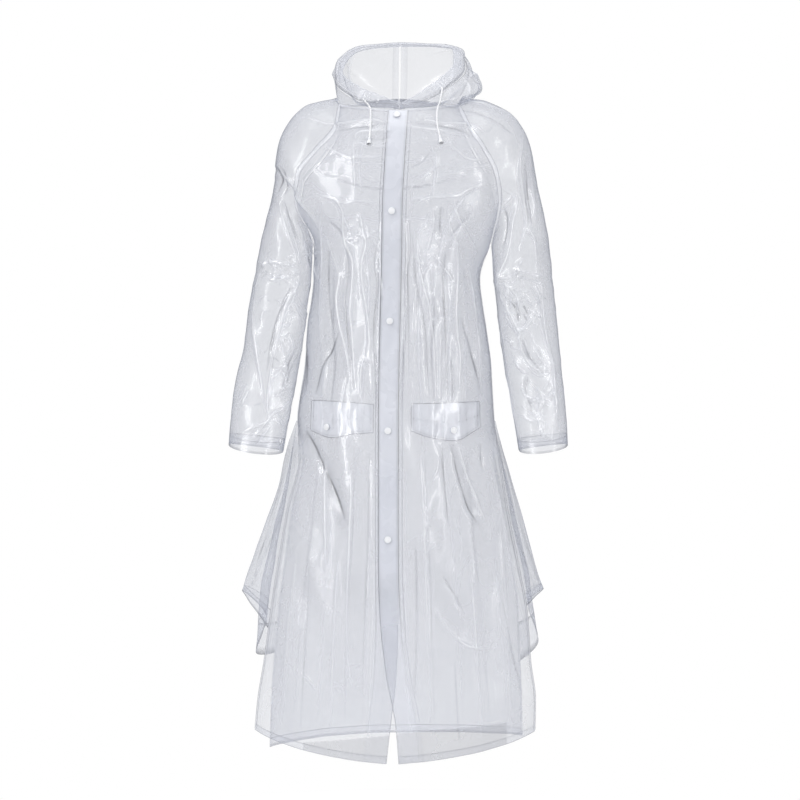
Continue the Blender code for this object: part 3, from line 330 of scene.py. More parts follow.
# ------------------------------------------------------------------ creases, (depth, half width, (x, z) ...) in the front view's plane
CREASES_BODY = (
    (5.5, 4.5, (-119, -172), (-102, -195), (-98, -252), (-83, -294), (-83, -345), (-87, -392), (-84, -439), (-76, -551)),
    (-4.5, 5.5, (-95, -270), (-93, -317), (-98, -369), (-95, -420), (-88, -476), (-83, -556)),
    (4.5, 6, (-130, -252), (-115, -298), (-108, -331), (-112, -369), (-107, -420), (-95, -467), (-84, -532)),
    (4, 7, (-142, -177), (-144, -233), (-139, -275), (-143, -345), (-146, -392), (-142, -476)), (-7, 8, (-108, -432), (-126, -467), (-142, -500), (-157, -556)),
    (-3.5, 5, (-126, -270), (-129, -326), (-126, -383), (-121, -434)),
    (4, 4, (-69, -195), (-62, -233), (-56, -261), (-65, -303), (-62, -345), (-54, -392), (-50, -439), (-46, -509), (-43, -561)),
    (-4, 4, (-32, -247), (-39, -298), (-34, -345), (-40, -415), (-39, -486), (-36, -567)), (3, 3, (-25, -191), (-27, -252), (-28, -326), (-30, -392), (-32, -486)),
    (2.6, 2.6, (-94, -252), (-69, -243), (-55, -253)), (2.6, 2.6, (-71, -231), (-63, -252)), (2.6, 2.6, (-54, -223), (-50, -252)), (2.6, 2.6, (-51, -243), (-31, -252)),
    (2.6, 2.6, (-81, -258), (-69, -252)), (2.6, 2.6, (-46, -233), (-32, -240)), (2.6, 2.6, (-41, -252), (-30, -275)), (2.6, 2.6, (-95, -233), (-79, -226)),
    (3.5, 9, (-191, -173), (-144, -167), (-118, -173), (-98, -181), (-69, -177), (-25, -185)), (2.2, 2.6, (-81, -62), (-79, -111), (-78, -158)),
    (3.2, 4, (-175, -14), (-121, -28), (-51, -19), (-9, -27)), (-3.4, 4, (-112, -42), (-69, -33), (-9, -28)), (4.2, 4, (-79, -56), (-69, -44), (-41, -41), (-9, -42)),
    (2.4, 4, (-74, -61), (-51, -70), (-9, -72)), (-2.6, 4, (-75, -62), (-51, -56), (-32, -58), (-9, -55)), (2.6, 5, (-135, -71), (-88, -92), (-23, -90)),
    (2.2, 4, (-69, -121), (-51, -135), (-23, -139)), (-2.4, 6, (-154, -111), (-130, -125), (-88, -125)), (3, 4, (-182, -233), (-170, -270), (-167, -326), (-170, -392)),
    (-3, 5, (-177, -439), (-173, -495), (-179, -556)), (2.8, 4, (-130, -476), (-135, -518), (-139, -561)), (2.4, 3, (-62, -486), (-67, -523), (-64, -561)),
    (-8, 9, (-175, -624), (-150, -673), (-121, -741), (-96, -803)), (4.5, 4, (-137, -686), (-136, -760), (-135, -889)),
    (-4, 3.2, (-207, -745), (-218, -819), (-232, -916), (-246, -1020)), (3.2, 3, (-199, -749), (-211, -823), (-224, -920), (-240, -1033), (-255, -1150)),
    (3.6, 5, (-84, -702), (-88, -838), (-94, -1026), (-84, -1131)), (2.2, 3, (-187, -1096), (-166, -1115), (-152, -1131)),
    (-3, 5, (-49, -663), (-51, -799), (-57, -955), (-64, -1150)), (3.4, 4, (-111, -877), (-119, -1033), (-127, -1238)), (-2.8, 6, (-166, -877), (-175, -1033), (-185, -1228)),
    (2.6, 3, (-193, -877), (-209, -1033), (-224, -1219)), (2.6, 4, (-37, -877), (-45, -1053), (-53, -1248)),
    (4.6, 4.5, (41, -245), (46, -298), (53, -336), (65, -380), (72, -433), (77, -500), (80, -570)),
    (-4, 5, (34, -240), (38, -298), (44, -351), (54, -394), (60, -442), (63, -500), (67, -567)), (4.4, 4, (73, -190), (75, -221), (66, -259), (59, -284)),
    (-4, 4.5, (91, -188), (89, -221), (91, -250)), (5, 4.5, (101, -191), (107, -230), (118, -259), (120, -307), (118, -380), (120, -428), (127, -476), (125, -548)),
    (-4.5, 7, (99, -279), (96, -336), (99, -404), (102, -471), (103, -567)), (5.5, 5, (115, -175), (120, -203), (139, -241), (160, -276)),
    (4.2, 8, (29, -197), (58, -173), (118, -167), (144, -154), (174, -145), (198, -159)), (5, 11, (142, -303), (153, -384), (161, -461), (169, -553)),
    (-4, 6, (129, -404), (143, -452), (156, -500), (168, -555)), (-3.5, 4, (27, -206), (30, -269), (25, -317), (27, -404), (28, -524)),
    (3.2, 3, (48, -307), (39, -370), (37, -433), (34, -519)), (3, 3, (90, -413), (88, -481), (89, -567)), (2.6, 3, (55, -233), (62, -211), (67, -197)),
    (-2.8, 4, (111, -481), (114, -524), (115, -567)), (3.4, 4, (58, -18), (91, -25), (144, -29), (183, -48)), (-3.2, 4, (29, -25), (72, -29), (125, -38), (168, -62)),
    (3, 4, (29, -34), (82, -39), (120, -48)), (3, 5, (111, 19), (154, 14), (212, -1), (241, -25)), (-2.6, 5, (120, 0), (159, -5), (202, -24), (231, -48)),
    (3.2, 4, (51, -143), (63, -124), (81, -109), (88, -82)), (-2.4, 5, (29, -115), (53, -101), (72, -77)), (2.4, 4, (106, -67), (144, -96), (173, -97)),
    (2.4, 5, (115, -125), (154, -110), (189, -115)), (2.6, 2.8, (44, -240), (58, -230), (62, -240)), (2.6, 2.8, (29, -178), (48, -173), (62, -182)),
    (2.6, 2.8, (67, -233), (77, -240)), (2.6, 2.8, (72, -279), (96, -307), (115, -336)), (2.6, 2.8, (38, -283), (58, -307)), (2.6, 2.8, (159, -182), (168, -202), (188, -197)),
    (2.6, 2.8, (183, -163), (180, -182)), (2.6, 2.8, (144, -182), (155, -211)), (-4.2, 3.2, (91, -651), (97, -731), (105, -815)),
    (-8, 7, (109, -655), (127, -721), (144, -770), (160, -803)), (4.5, 4, (123, -655), (140, -714), (158, -760), (174, -799)), (-3.5, 4, (168, -649), (172, -702)),
    (-4, 3.5, (191, -665), (214, -768), (243, -905), (278, -1039)), (3.2, 3, (183, -673), (205, -772), (232, -909), (263, -1043)), (-3.6, 7, (41, -838), (43, -994), (39, -1150)),
    (-4, 7, (94, -909), (117, -946), (136, -983)), (4, 4, (74, -965), (107, -1014), (142, -1045), (197, -1051)), (-3.6, 5, (211, -955), (228, -1053), (252, -1150)),
    (3, 4, (49, -663), (57, -819), (64, -1033), (72, -1238)), (3.4, 5, (146, -877), (158, -1033), (170, -1228)), (-2.8, 5, (117, -1072), (121, -1150), (127, -1238)),
    (2.6, 3, (205, -799), (216, -955), (228, -1219)), (2.6, 4, (19, -877), (25, -1072), (31, -1228)),
)
CREASES_ARMS = (
    (-9, 8, (-232, -111), (-223, -132), (-228, -164)), (5, 4, (-229, -107), (-217, -126), (-196, -149), (-185, -177), (-162, -205), (-144, -233)),
    (4.5, 4, (-228, -170), (-215, -223), (-198, -275), (-188, -304)), (-4.5, 6, (-216, -177), (-203, -214), (-191, -252)), (4.5, 4, (-191, -219), (-182, -252), (-177, -281)),
    (4, 4, (-177, -223), (-168, -252), (-151, -271)), (-4.5, 5, (-174, -252), (-167, -280), (-161, -317)), (4, 4, (-178, -285), (-161, -281), (-143, -277)),
    (4, 3.5, (-159, -293), (-155, -312), (-151, -333)), (3.4, 3.2, (-247, -289), (-231, -313)), (3.4, 3.2, (-225, -293), (-216, -313)), (3.4, 3.2, (-215, -298), (-195, -327)),
    (3.4, 3.2, (-240, -316), (-209, -318)), (3.4, 3.2, (-261, -304), (-238, -295), (-223, -299), (-191, -306)), (3.4, 3.2, (-257, -326), (-229, -332), (-205, -326)),
    (3.4, 3.2, (-219, -326), (-200, -345)), (3.4, 3.2, (-252, -294), (-257, -317)),
    (5.5, 4.5, (-189, -305), (-191, -337), (-212, -378), (-221, -415), (-229, -448), (-235, -495), (-243, -560), (-244, -588)),
    (-4.5, 6, (-205, -345), (-220, -383), (-234, -420), (-243, -462), (-251, -514)), (4.5, 4, (-261, -309), (-271, -359), (-275, -415), (-268, -476), (-257, -556), (-254, -595)),
    (3.8, 3.4, (-233, -468), (-215, -444), (-205, -462), (-215, -491)), (3.8, 3.4, (-223, -439), (-209, -476)), (3.8, 3.4, (-219, -490), (-209, -509), (-215, -532)),
    (3.8, 3.4, (-238, -523), (-219, -504)), (3.8, 3.4, (-205, -378), (-191, -401), (-186, -434)), (3.8, 3.4, (-200, -354), (-177, -392), (-168, -420)),
    (3.8, 3.4, (-254, -602), (-224, -585), (-198, -561)), (3.8, 3.4, (-308, -632), (-261, -613), (-238, -599)), (3.8, 3.4, (-238, -599), (-215, -627)),
    (3.8, 3.4, (-243, -598), (-261, -621), (-275, -640)), (3.8, 3.4, (-226, -546), (-196, -532)), (3.8, 3.4, (-285, -546), (-299, -579)), (3.8, 3.4, (-210, -570), (-219, -598)),
    (-5, 6, (-226, -448), (-236, -500), (-240, -546)), (-4, 5, (-191, -462), (-209, -509), (-224, -560)),
    (4.5, 4, (222, -154), (238, -173), (231, -221), (221, -279), (207, -322), (202, -356)), (-4.5, 5, (212, -187), (217, -221), (210, -269)),
    (4, 4, (248, -58), (243, -115), (250, -173), (255, -221), (243, -279)), (3.6, 4, (260, -67), (269, -163), (278, -240)), (-4, 6, (254, -96), (260, -163), (266, -221)),
    (3.4, 3.5, (207, -163), (213, -182), (232, -163)), (3.6, 4, (250, -230), (269, -250), (274, -298)), (4.4, 3.6, (219, -342), (241, -351), (267, -356)),
    (4.4, 3.6, (212, -370), (231, -404), (246, -429), (269, -405), (270, -371)), (4.4, 3.6, (226, -346), (241, -371), (236, -400)), (4.4, 3.6, (250, -356), (269, -381)),
    (4.4, 3.6, (224, -419), (245, -433), (241, -448)), (4.4, 3.6, (197, -308), (212, -328), (232, -322)), (4.4, 3.6, (231, -308), (260, -318), (290, -328)),
    (4.4, 3.6, (216, -332), (226, -365)), (4.4, 3.6, (269, -336), (284, -370)), (4.4, 3.6, (207, -346), (214, -380)), (4.4, 3.6, (241, -307), (250, -288)),
    (4.4, 3.6, (262, -389), (284, -404)), (-6, 7, (222, -370), (236, -390), (241, -418)), (-5.5, 7, (250, -380), (260, -399)),
    (4.6, 4, (241, -433), (251, -476), (275, -506), (299, -506)), (4.6, 4, (262, -429), (275, -472), (296, -501)), (-5, 6, (250, -447), (262, -481), (289, -514)),
    (4.2, 4, (245, -539), (260, -563), (280, -568), (304, -578)), (4, 4, (269, -530), (285, -554), (289, -573), (284, -592), (290, -621), (293, -645)),
    (-4, 6, (260, -519), (255, -548), (269, -591)), (4.2, 4, (202, -405), (212, -476), (226, -549), (236, -597), (246, -645)),
    (4, 4, (284, -332), (293, -429), (308, -501), (314, -573), (327, -645)), (3.4, 3.4, (226, -471), (241, -500), (260, -514)), (3.4, 3.4, (241, -591), (269, -606), (289, -601)),
    (3.4, 3.4, (298, -529), (289, -548)), (3.4, 3.4, (255, -635), (279, -630), (308, -639)), (3.4, 3.4, (216, -442), (231, -457)),
)
# creases of the back, (depth, half width, (x, z) ...), seen from the front
CREASES_BACK = (
    (4, 6, (-150, -60), (-90, -85), (-20, -88), (60, -80), (140, -62)), (-3.5, 5, (-120, -120), (-60, -135), (0, -138), (60, -132), (130, -118)),
    (3.5, 4, (-170, -130), (-120, -170), (-90, -230), (-80, -300)), (3.5, 4, (175, -130), (128, -170), (96, -235), (86, -310)),
    (-4, 5, (-150, -190), (-105, -240), (-90, -330)), (-4, 5, (158, -185), (110, -245), (98, -335)), (3, 4, (-60, -30), (-72, -90), (-66, -150)),
    (3, 4, (70, -34), (80, -96), (72, -160)), (2.6, 3, (-20, -100), (-14, -160), (-22, -210)), (2.6, 3, (28, -96), (34, -150), (26, -214)),
    (5, 5, (-60, -250), (-52, -340), (-58, -430), (-66, -540), (-72, -640)), (-4.5, 5, (-35, -280), (-30, -380), (-36, -480), (-40, -600)),
    (4.5, 4.5, (-8, -260), (-4, -360), (-8, -460), (-14, -580), (-18, -700)), (-4, 5, (18, -300), (22, -400), (16, -500), (14, -620)),
    (5, 5, (45, -250), (50, -350), (46, -450), (52, -560), (60, -680)), (-4.5, 5, (74, -290), (78, -390), (74, -480), (82, -600)),
    (4.5, 4.5, (104, -280), (108, -370), (104, -460), (112, -570)), (4.5, 5, (-96, -270), (-100, -360), (-96, -450), (-104, -560), (-116, -680)),
    (-4.5, 5, (-122, -300), (-126, -400), (-122, -490), (-132, -600)), (4, 4, (-142, -330), (-146, -420), (-142, -500), (-150, -590)),
    (4, 4, (136, -320), (142, -410), (138, -500), (146, -600)), (4, 8, (-140, -205), (-80, -195), (-20, -205), (40, -196), (100, -204), (150, -196)),
    (3.4, 5, (-120, -400), (-90, -412), (-60, -404)), (3.4, 5, (60, -408), (95, -400), (130, -410)), (3, 3, (-50, -360), (-30, -372), (-6, -366)),
    (3, 3, (22, -446), (44, -452), (60, -444)), (3, 3, (-86, -500), (-64, -492), (-44, -498)), (-6, 8, (-150, -640), (-168, -800), (-190, -1000), (-206, -1200)),
    (5, 5, (-120, -680), (-132, -850), (-150, -1050), (-160, -1230)), (-5, 6, (-80, -640), (-88, -820), (-100, -1020), (-106, -1240)),
    (4.5, 4, (-50, -700), (-54, -880), (-62, -1080), (-66, -1240)), (-5, 7, (-14, -660), (-16, -840), (-22, -1040), (-24, -1240)),
    (4.5, 4.5, (20, -700), (22, -900), (20, -1100), (22, -1240)), (-5, 6, (60, -680), (68, -860), (76, -1060), (82, -1240)),
    (5, 5, (100, -660), (114, -840), (128, -1040), (140, -1230)), (-5.5, 7, (140, -640), (158, -820), (176, -1020), (192, -1200)),
    (4, 4, (180, -700), (200, -880), (216, -1060), (226, -1200)), (4, 4, (-185, -700), (-204, -880), (-220, -1060), (-228, -1210)),
    (3.4, 4, (-160, -620), (-130, -700), (-90, -760)), (3.4, 4, (165, -630), (130, -720), (96, -790)), (3, 3, (-60, -860), (-30, -900), (10, -905)),
    (3, 3, (30, -980), (70, -1010), (110, -1000)), (3, 3.4, (-140, -980), (-110, -1010), (-84, -1080)), (3, 3.4, (150, -880), (130, -930), (124, -1000)),
)


def dense(points, pieces=7):
    """A smooth line through a few points, millimetres in and metres out."""
    p = np.array(points, float) / 1000
    if len(p) == 2:
        p = np.array([p[0], (p[0] + p[1]) / 2, p[1]])
    before = np.vstack([2 * p[0] - p[1], p[:-2]])
    after = np.vstack([p[2:], 2 * p[-1] - p[-2]])
    out = []
    for i in range(len(p) - 1):
        a, b = p[i], p[i + 1]
        da = (b - before[i]) / 2
        db = (after[i] - a) / 2
        t = np.linspace(0, 1, pieces, endpoint=False)[:, None]
        out.append(a * (1 + 2 * t) * (1 - t) ** 2 + da * t * (1 - t) ** 2 + b * t * t * (3 - 2 * t) - db * t * t * (1 - t))
    return np.vstack(out + [p[-1:]])


def crease_field(creases, x, z, gain=1.0):
    """The height of the creases at places of a plane, and how near each place is to a crest, above zero, or a trough."""
    shape = np.shape(x)
    x, z = np.ravel(x), np.ravel(z)
    height, line = np.zeros(x.size), np.zeros(x.size)
    for number, (depth, half, *points) in enumerate(creases):
        path = dense(points)
        half = half / 1000
        reach = 5 * half
        near = np.flatnonzero((x > path[:, 0].min() - reach) & (x < path[:, 0].max() + reach) & (z > path[:, 1].min() - reach) & (z < path[:, 1].max() + reach))
        if not near.size:
            continue
        place = np.stack([x[near], z[near]], 1)
        start, along = path[:-1], np.diff(path, axis=0)
        rel = place[:, None, :] - start[None]
        t = np.clip((rel * along).sum(-1) / (along**2).sum(-1), 0, 1)
        gap = rel - t[..., None] * along
        far = (gap**2).sum(-1)
        k = far.argmin(1)
        rows = np.arange(near.size)
        distance = np.sqrt(far[rows, k])
        at = (k + t[rows, k]) / len(start)
        side = np.sign(along[k, 0] * rel[rows, k, 1] - along[k, 1] * rel[rows, k, 0]) * (1 if (number * 7) % 5 < 3 else -1)
        taper = np.sin(math.pi * np.clip(at, 0.0, 1.0)) ** 0.55 * (0.82 + 0.18 * np.sin(at * 11 + number))
        width = half * (1.05 + 0.35 * side) * (0.6 + 0.4 * taper)
        round_tip = 0.28 * half
        shape_here = np.exp(-(np.sqrt(distance**2 + round_tip**2) - round_tip) / width)
        height[near] += gain * depth / 1000 * shape_here * taper
        # line rises above zero along crests, where the film paints a highlight, and falls below zero along troughs,
        # where it paints shade
        line[near] += math.copysign(min(abs(depth) / 4.0, 1.4), depth) * np.exp(-((distance / 0.0018) ** 2)) * taper
    return height.reshape(shape), line.reshape(shape)


def scatter(seed, count, low, high, length, depth, half, lean=90.0, spread=90.0):
    """Small creases at seeded random places in a box of the plane, all in millimetres and degrees."""
    rng = np.random.default_rng(seed)
    made = []
    for _ in range(count):
        x, z = rng.uniform(low[0], high[0]), rng.uniform(low[1], high[1])
        a = math.radians(lean + rng.uniform(-spread, spread))
        run = rng.uniform(*length) / 2
        bend = rng.uniform(-0.35, 0.35) * run
        dx, dz = math.cos(a) * run, math.sin(a) * run
        made.append((rng.choice([-0.8, 1.0, 1.0]) * rng.uniform(*depth), rng.uniform(*half), (x - dx, z - dz), (x - dz / run * bend, z + dx / run * bend), (x + dx, z + dz)))
    return tuple(made)


def moved(creases, seed, shift, gain):
    """The same kind of creases for a side that isn't seen, each a little elsewhere."""
    rng = np.random.default_rng(seed)
    made = []
    for depth, half, *points in creases:
        dx, dz = rng.uniform(-shift, shift), rng.uniform(-2 * shift, 2 * shift)
        made.append((depth * gain * rng.uniform(0.6, 1.2), half * rng.uniform(0.85, 1.3), *((x + dx + rng.uniform(-3, 3), z + dz + rng.uniform(-4, 4)) for x, z in points)))
    return tuple(made)


def softer(creases, below, gain, wider):
    """The creases that start below a height, made shallower and wider, as the heavy skirt hangs smoother."""
    return tuple((depth * gain, half * wider, *points) if points[0][1] < below else (depth, half, *points) for depth, half, *points in creases)


CREASES_FRONT = CREASES_BODY + CREASES_ARMS
CREASES_FRONT += scatter(3, 13, (-262, -330), (-192, -288), (10, 28), (1.4, 2.8), (2.0, 3.4), 0, 90)  # right elbow
CREASES_FRONT += scatter(4, 17, (212, -440), (284, -318), (12, 32), (1.6, 3.0), (2.2, 3.6), -30, 90)  # left elbow
CREASES_FRONT += scatter(5, 7, (-262, -620), (-200, -400), (16, 40), (1.2, 2.4), (2.4, 4.0), 60, 60)
CREASES_FRONT += scatter(6, 8, (214, -640), (318, -440), (16, 40), (1.2, 2.4), (2.4, 4.0), 120, 60)
CREASES_FRONT += scatter(7, 11, (-128, -280), (-22, -190), (10, 26), (1.0, 2.0), (2.0, 3.4), 60, 80)  # bust, right
CREASES_FRONT += scatter(8, 9, (28, -290), (160, -170), (10, 28), (1.0, 2.0), (2.0, 3.4), 110, 80)
CREASES_FRONT += scatter(9, 14, (-140, -560), (-24, -290), (26, 80), (0.9, 1.8), (2.4, 4.2), 90, 14)  # gathers
CREASES_FRONT += scatter(10, 14, (26, -560), (165, -290), (26, 80), (0.9, 1.8), (2.4, 4.2), 92, 14)
CREASES_FRONT += scatter(11, 5, (-235, -1000), (-30, -680), (50, 130), (0.6, 1.1), (3.0, 5.0), 96, 12)  # skirt
CREASES_FRONT += scatter(12, 6, (26, -1000), (240, -680), (50, 130), (0.6, 1.1), (3.0, 5.0), 84, 12)
CREASES_FRONT += scatter(13, 6, (-150, -170), (-25, -20), (24, 60), (0.8, 1.5), (3.0, 5.0), 10, 50)  # chest
CREASES_FRONT += scatter(14, 7, (30, -170), (190, 10), (24, 60), (0.8, 1.5), (3.0, 5.0), 170, 50)
CREASES_REAR = softer(CREASES_BACK, -600, 0.42, 1.9) + moved(CREASES_ARMS, 21, 8, 0.9)
CREASES_REAR += scatter(15, 20, (-150, -560), (150, -240), (20, 60), (0.9, 1.9), (2.2, 4.0), 90, 36)
CREASES_REAR += scatter(16, 9, (-220, -1100), (220, -660), (50, 130), (0.6, 1.1), (3.0, 5.0), 90, 10)
CREASES_REAR += scatter(17, 10, (-170, -200), (170, -10), (24, 64), (0.8, 1.7), (2.8, 4.6), 0, 50)
CREASES_REAR += scatter(18, 18, (-262, -600), (-192, -280), (12, 36), (1.3, 2.6), (2.2, 3.6), 20, 90)
CREASES_REAR += scatter(19, 18, (212, -620), (296, -300), (12, 36), (1.3, 2.6), (2.2, 3.6), -20, 90)


def swell(seed, a, b, size_a, size_b, count=9):
    """Slow uneven waves over two coordinates, about -1 to 1."""
    rng = np.random.default_rng(seed)
    total = np.zeros(np.shape(a))
    for _ in range(count):
        ka, kb = 2 * math.pi / (size_a * rng.uniform(0.7, 1.7)), 2 * math.pi / (size_b * rng.uniform(0.7, 1.7)) * rng.choice([-1, 1])
        total += np.sin(ka * a + kb * b + rng.uniform(0, 2 * math.pi) + 0.8 * np.sin(kb * b * 0.6 + rng.uniform(0, 6)))
    return total / math.sqrt(count * 1.6)


FLAT_SPOTS = [(0.0122, -0.0300), (-0.0040, -0.2130), (-0.0060, -0.4180), (-0.0110, -0.6235), (-0.0120, -0.8245), (-0.1251, -0.6165), (0.1091, -0.6230)]


SHADES = (  # painted shade: soft darker, denser bands along the skirt's folds: amount, half width, course
    (0.30, 11, (-175, -632), (-150, -673), (-123, -731), (-98, -801)),
    (0.22, 8, (111, -655), (131, -702), (150, -760), (160, -805)),
    (0.12, 36, (-136, -936), (-78, -930), (-20, -940)),
    (0.12, 34, (53, -868), (86, -925), (111, -990)),
)


def shade_field(shades, x, z):
    total = np.zeros(np.shape(x))
    for amount, half, *points in shades:
        path = dense(points, 24)
        nearest = np.full(np.shape(x), np.inf)
        for px, pz in path:
            nearest = np.minimum(nearest, (x - px) ** 2 + (z - pz) ** 2)
        total = total + amount * np.exp(-nearest / (half / 1000) ** 2)
    return total


def front_field(point):
    """How far the front's creases stand out at places of its plain surface, with their crests."""
    scale = 3.4 / (3.4 + point[..., 1])
    x = point[..., 0] * scale
    z = (point[..., 2] + 0.5655) * scale - 0.5655
    height, line = crease_field(CREASES_FRONT, x, z, 1.0)
    smoother = smooth(0.84, 1.02, -z)  # the lower skirt
    height, line = height * (1 - 0.55 * smoother), line * (1 - 0.45 * smoother)
    height = height + 0.0016 * swell(31, x, z, 0.080, 0.28) * (1 - 0.35 * smoother) + 0.0004 * swell(32, x, z, 0.036, 0.080) * (1 - smoother)
    for sx, sz in FLAT_SPOTS:
        calm = 1 - 0.85 * np.exp(-(((x - sx) / 0.014) ** 2 + ((z - sz) / 0.014) ** 2))
        height, line = height * calm, line * calm
    return height, line - shade_field(SHADES, x, z)


def rear_field(point):
    x, z = point[..., 0], point[..., 2]
    height, line = crease_field(CREASES_REAR, x, z, 1.0)
    smoother = smooth(0.84, 1.02, -z)
    return height * (1 - 0.3 * smoother) + 0.0015 * swell(33, x, z, 0.085, 0.30) + 0.0004 * swell(34, x, z, 0.036, 0.080) * (1 - smoother), line * (1 - 0.45 * smoother)


# ------------------------------------------------------------------ plain surfaces
def unit(vectors):
    return vectors / np.maximum(np.linalg.norm(vectors, axis=-1, keepdims=True), 1e-12)


def fold_height(folds, x, z):
    total = np.zeros(np.shape(x))
    for xt, zt, xb, zb, half, depth in zip(*(folds[c] for c in "xt zt xb zb half depth".split())):
        t = (zt - z) / (zt - zb)
        gap = (x - (xt + (xb - xt) * t)) / half
        total = total + depth * np.exp(-gap * gap) * smooth(-0.1, 0.25, t) * (1 - smooth(0.75, 1.1, t))
    return total


def front_point(side, v, s):
    seams = SEAMS[side]
    turn = np.radians(read(seams, "turn", v))
    xc, yc, zc = (read(FRONT, c, v) for c in "xyz")
    xe, ye, ze = (read(seams, c, v) for c in "xyz")
    x = xc + (xe - xc) * np.sin(turn * s) / np.sin(turn)
    y = ye + (yc - ye) * (np.cos(turn * s) - np.cos(turn)) / (1 - np.cos(turn))
    z = zc + (ze - zc) * np.maximum(s, 0.0) ** 1.4
    return np.stack([x, y - fold_height(FRONT_FOLDS, x, z) * (1 - np.maximum(s, 0.0) ** 6), z], -1)


def back_point(side, v, s):
    seams = SEAMS[side]
    turn = np.radians(read(seams, "turn", v))
    xc, yc, zc = (read(BACK, c, v) for c in "xyz")
    xe, ye, ze = (read(seams, c, v) for c in ("xb", "yb", "zb"))
    x = xc + (xe - xc) * np.sin(turn * s) / np.sin(turn)
    y = ye + (yc - ye) * (np.cos(turn * s) - np.cos(turn)) / (1 - np.cos(turn))
    z = zc + (ze - zc) * np.abs(s) ** 1.4
    return np.stack([x, y + fold_height(BACK_FOLDS, x, z) * (1 - np.abs(s) ** 6), z], -1)


def bezier(p, t):
    t = np.asarray(t)[..., None]
    u = 1 - t
    return p[0] * u**3 + p[1] * (3 * u * u * t) + p[2] * (3 * u * t * t) + p[3] * t**3


def sleeve_point(side, v, u):
    arm, seams, sign = ARMS[side], SEAMS[side], SIDES[side]
    v, u = np.broadcast_arrays(np.asarray(v, float), np.asarray(u, float))
    face = np.where(u < 0, -1.0, 1.0)
    y, m = read(arm, "y", v), read(arm, "m", v)
    zero = np.zeros(v.shape)
    top = np.stack([read(arm, "xo", v), y, read(arm, "zo", v)], -1)
    hx, hy, hz = (read(arm, c, v) for c in ("hx", "hy", "hz"))
    tube_end = np.stack([read(arm, "xi", v), y, read(arm, "zi", v)], -1)
    before = np.stack([np.where(u < 0, read(seams, c, v), read(seams, c + "b", v)) for c in "xyz"], -1)
    under = np.array([read(arm, "xi", 5.0), 0.0, read(arm, "zi", 5.0)]) - np.array([read(seams, c, 5.0) for c in "xyz"])
    seam_end = before + under * smooth(3.8, 5, v)[..., None]
    end = np.where((v >= 5)[..., None], tube_end, seam_end)
    handle = end + np.stack([sign * hx, face * hy, hz], -1)
    end = end + unit(handle - end) * (SEAM * 1.7 * (v < 5))[..., None]
    point = bezier((top, top + np.stack([zero, face * m, zero], -1), handle, end), np.abs(u))
    point[..., 2] -= np.where(u < 0, 0.010 * smooth(9.0, 11, v) * 4 * np.abs(u) * (1 - np.abs(u)), 0.0)
    return point


def neck_point(side, q):
    q = np.asarray(q, float)
    front = front_point(side, np.zeros(q.shape), np.minimum(q, 1.0))
    sleeve = sleeve_point(side, np.zeros(q.shape), np.clip(2 * q - 3, -1, 1))
    back = back_point(side, np.zeros(q.shape), np.clip(3 - q, 0, 1))
    q = q[..., None]
    return np.where(q < 1, front, np.where(q < 2, sleeve, back))


def hood_curve(side, q):
    neck = neck_point(side, q)
    angle = read(TURN[side], "angle", q)
    rim = np.stack([read(RIM[side], c, angle) for c in "xyz"], -1)
    a = np.radians(angle)
    out = np.stack([SIDES[side] * np.sin(a), -np.cos(a), np.zeros(a.shape)], -1)
    up = np.array([0.0, 0.0, 1.0])
    out1, up1, out2, up2 = (read(BULGE[side], c, angle)[..., None] for c in ("out1", "up1", "out2", "up2"))
    start = neck + up * (0.0023 + 0.0012 * smooth(0.8, 1.1, q) * (1 - smooth(1.9, 2.2, q)))[..., None] + out * 0.0006
    return start, start + out * out1 + up * up1, rim + out * out2 + up * up2, rim


def casing_width(q):
    return CASING_FRONT_WIDTH + (CASING_WIDTH - CASING_FRONT_WIDTH) * smooth(0.0, 0.6, q)


def hood_at(side, q, back_from_rim):
    """Points of the hood's curves, so many metres back from the rim along them, with t there."""
    q = np.asarray(q, float)
    ts = np.linspace(1, 0, 161)
    line = bezier([c[:, None, :] for c in hood_curve(side, q)], ts[None, :])
    run = np.concatenate([np.zeros((len(q), 1)), np.cumsum(np.linalg.norm(np.diff(line, axis=1), axis=-1), 1)], 1)
    want = np.broadcast_to(back_from_rim, q.shape)
    t = np.array([np.interp(w, r, ts) for w, r in zip(want, run)])
    return bezier(hood_curve(side, q), t), t


def centre_s(side, v, x_from_centre):
    seams = SEAMS[side]
    turn = np.radians(read(seams, "turn", v))
    reach = np.abs(read(seams, "x", v) - read(FRONT, "x", v))
    return -np.arcsin(np.clip(x_from_centre / reach * np.sin(turn), -1.0, 1.0)) / turn


def over(x_to_centre, past):
    return LAYER * (1 - smooth(past + 0.003, past + 0.038, x_to_centre))


def normals(surface, a, b, outward, ends, step=0.01):
    """Unit normals of a surface over (a, b), turned to the outside."""
    up, down = np.minimum(a + step, ends[1]), np.maximum(a - step, ends[0])
    made = unit(np.cross(surface(up, b) - surface(down, b), surface(a, b + step) - surface(a, b - step)))
    return -made if (made * outward).sum(-1).mean() < 0 else made


# ------------------------------------------------------------------ surfaces with their creases
# each gives points and crests over a panel's own coordinates, moved out from the cloth by off
def front_skin(side, v, s, off=0.0, creased=1.0):
    v, s = np.broadcast_arrays(np.asarray(v, float), np.asarray(s, float))
    base = front_point(side, v, s)
    normal = normals(lambda a, b: front_point(side, a, b), v, s, np.array([0, -1, 0.2]), (0, 16))
    height, line = front_field(base)
    calm = creased * (1 - smooth(0.90, 1.0, s) * smooth(4.6, 5.4, v) * 0.85)
    rise = off + height * calm
    if side == "l":
        x = (base[..., 0] - read(FRONT, "x", v)) * SIDES[side]
        rise = rise + over(x, np.maximum(np.abs(read(FRONT, "lap", v)), 0.002))
    return base + normal * rise[..., None], line * calm


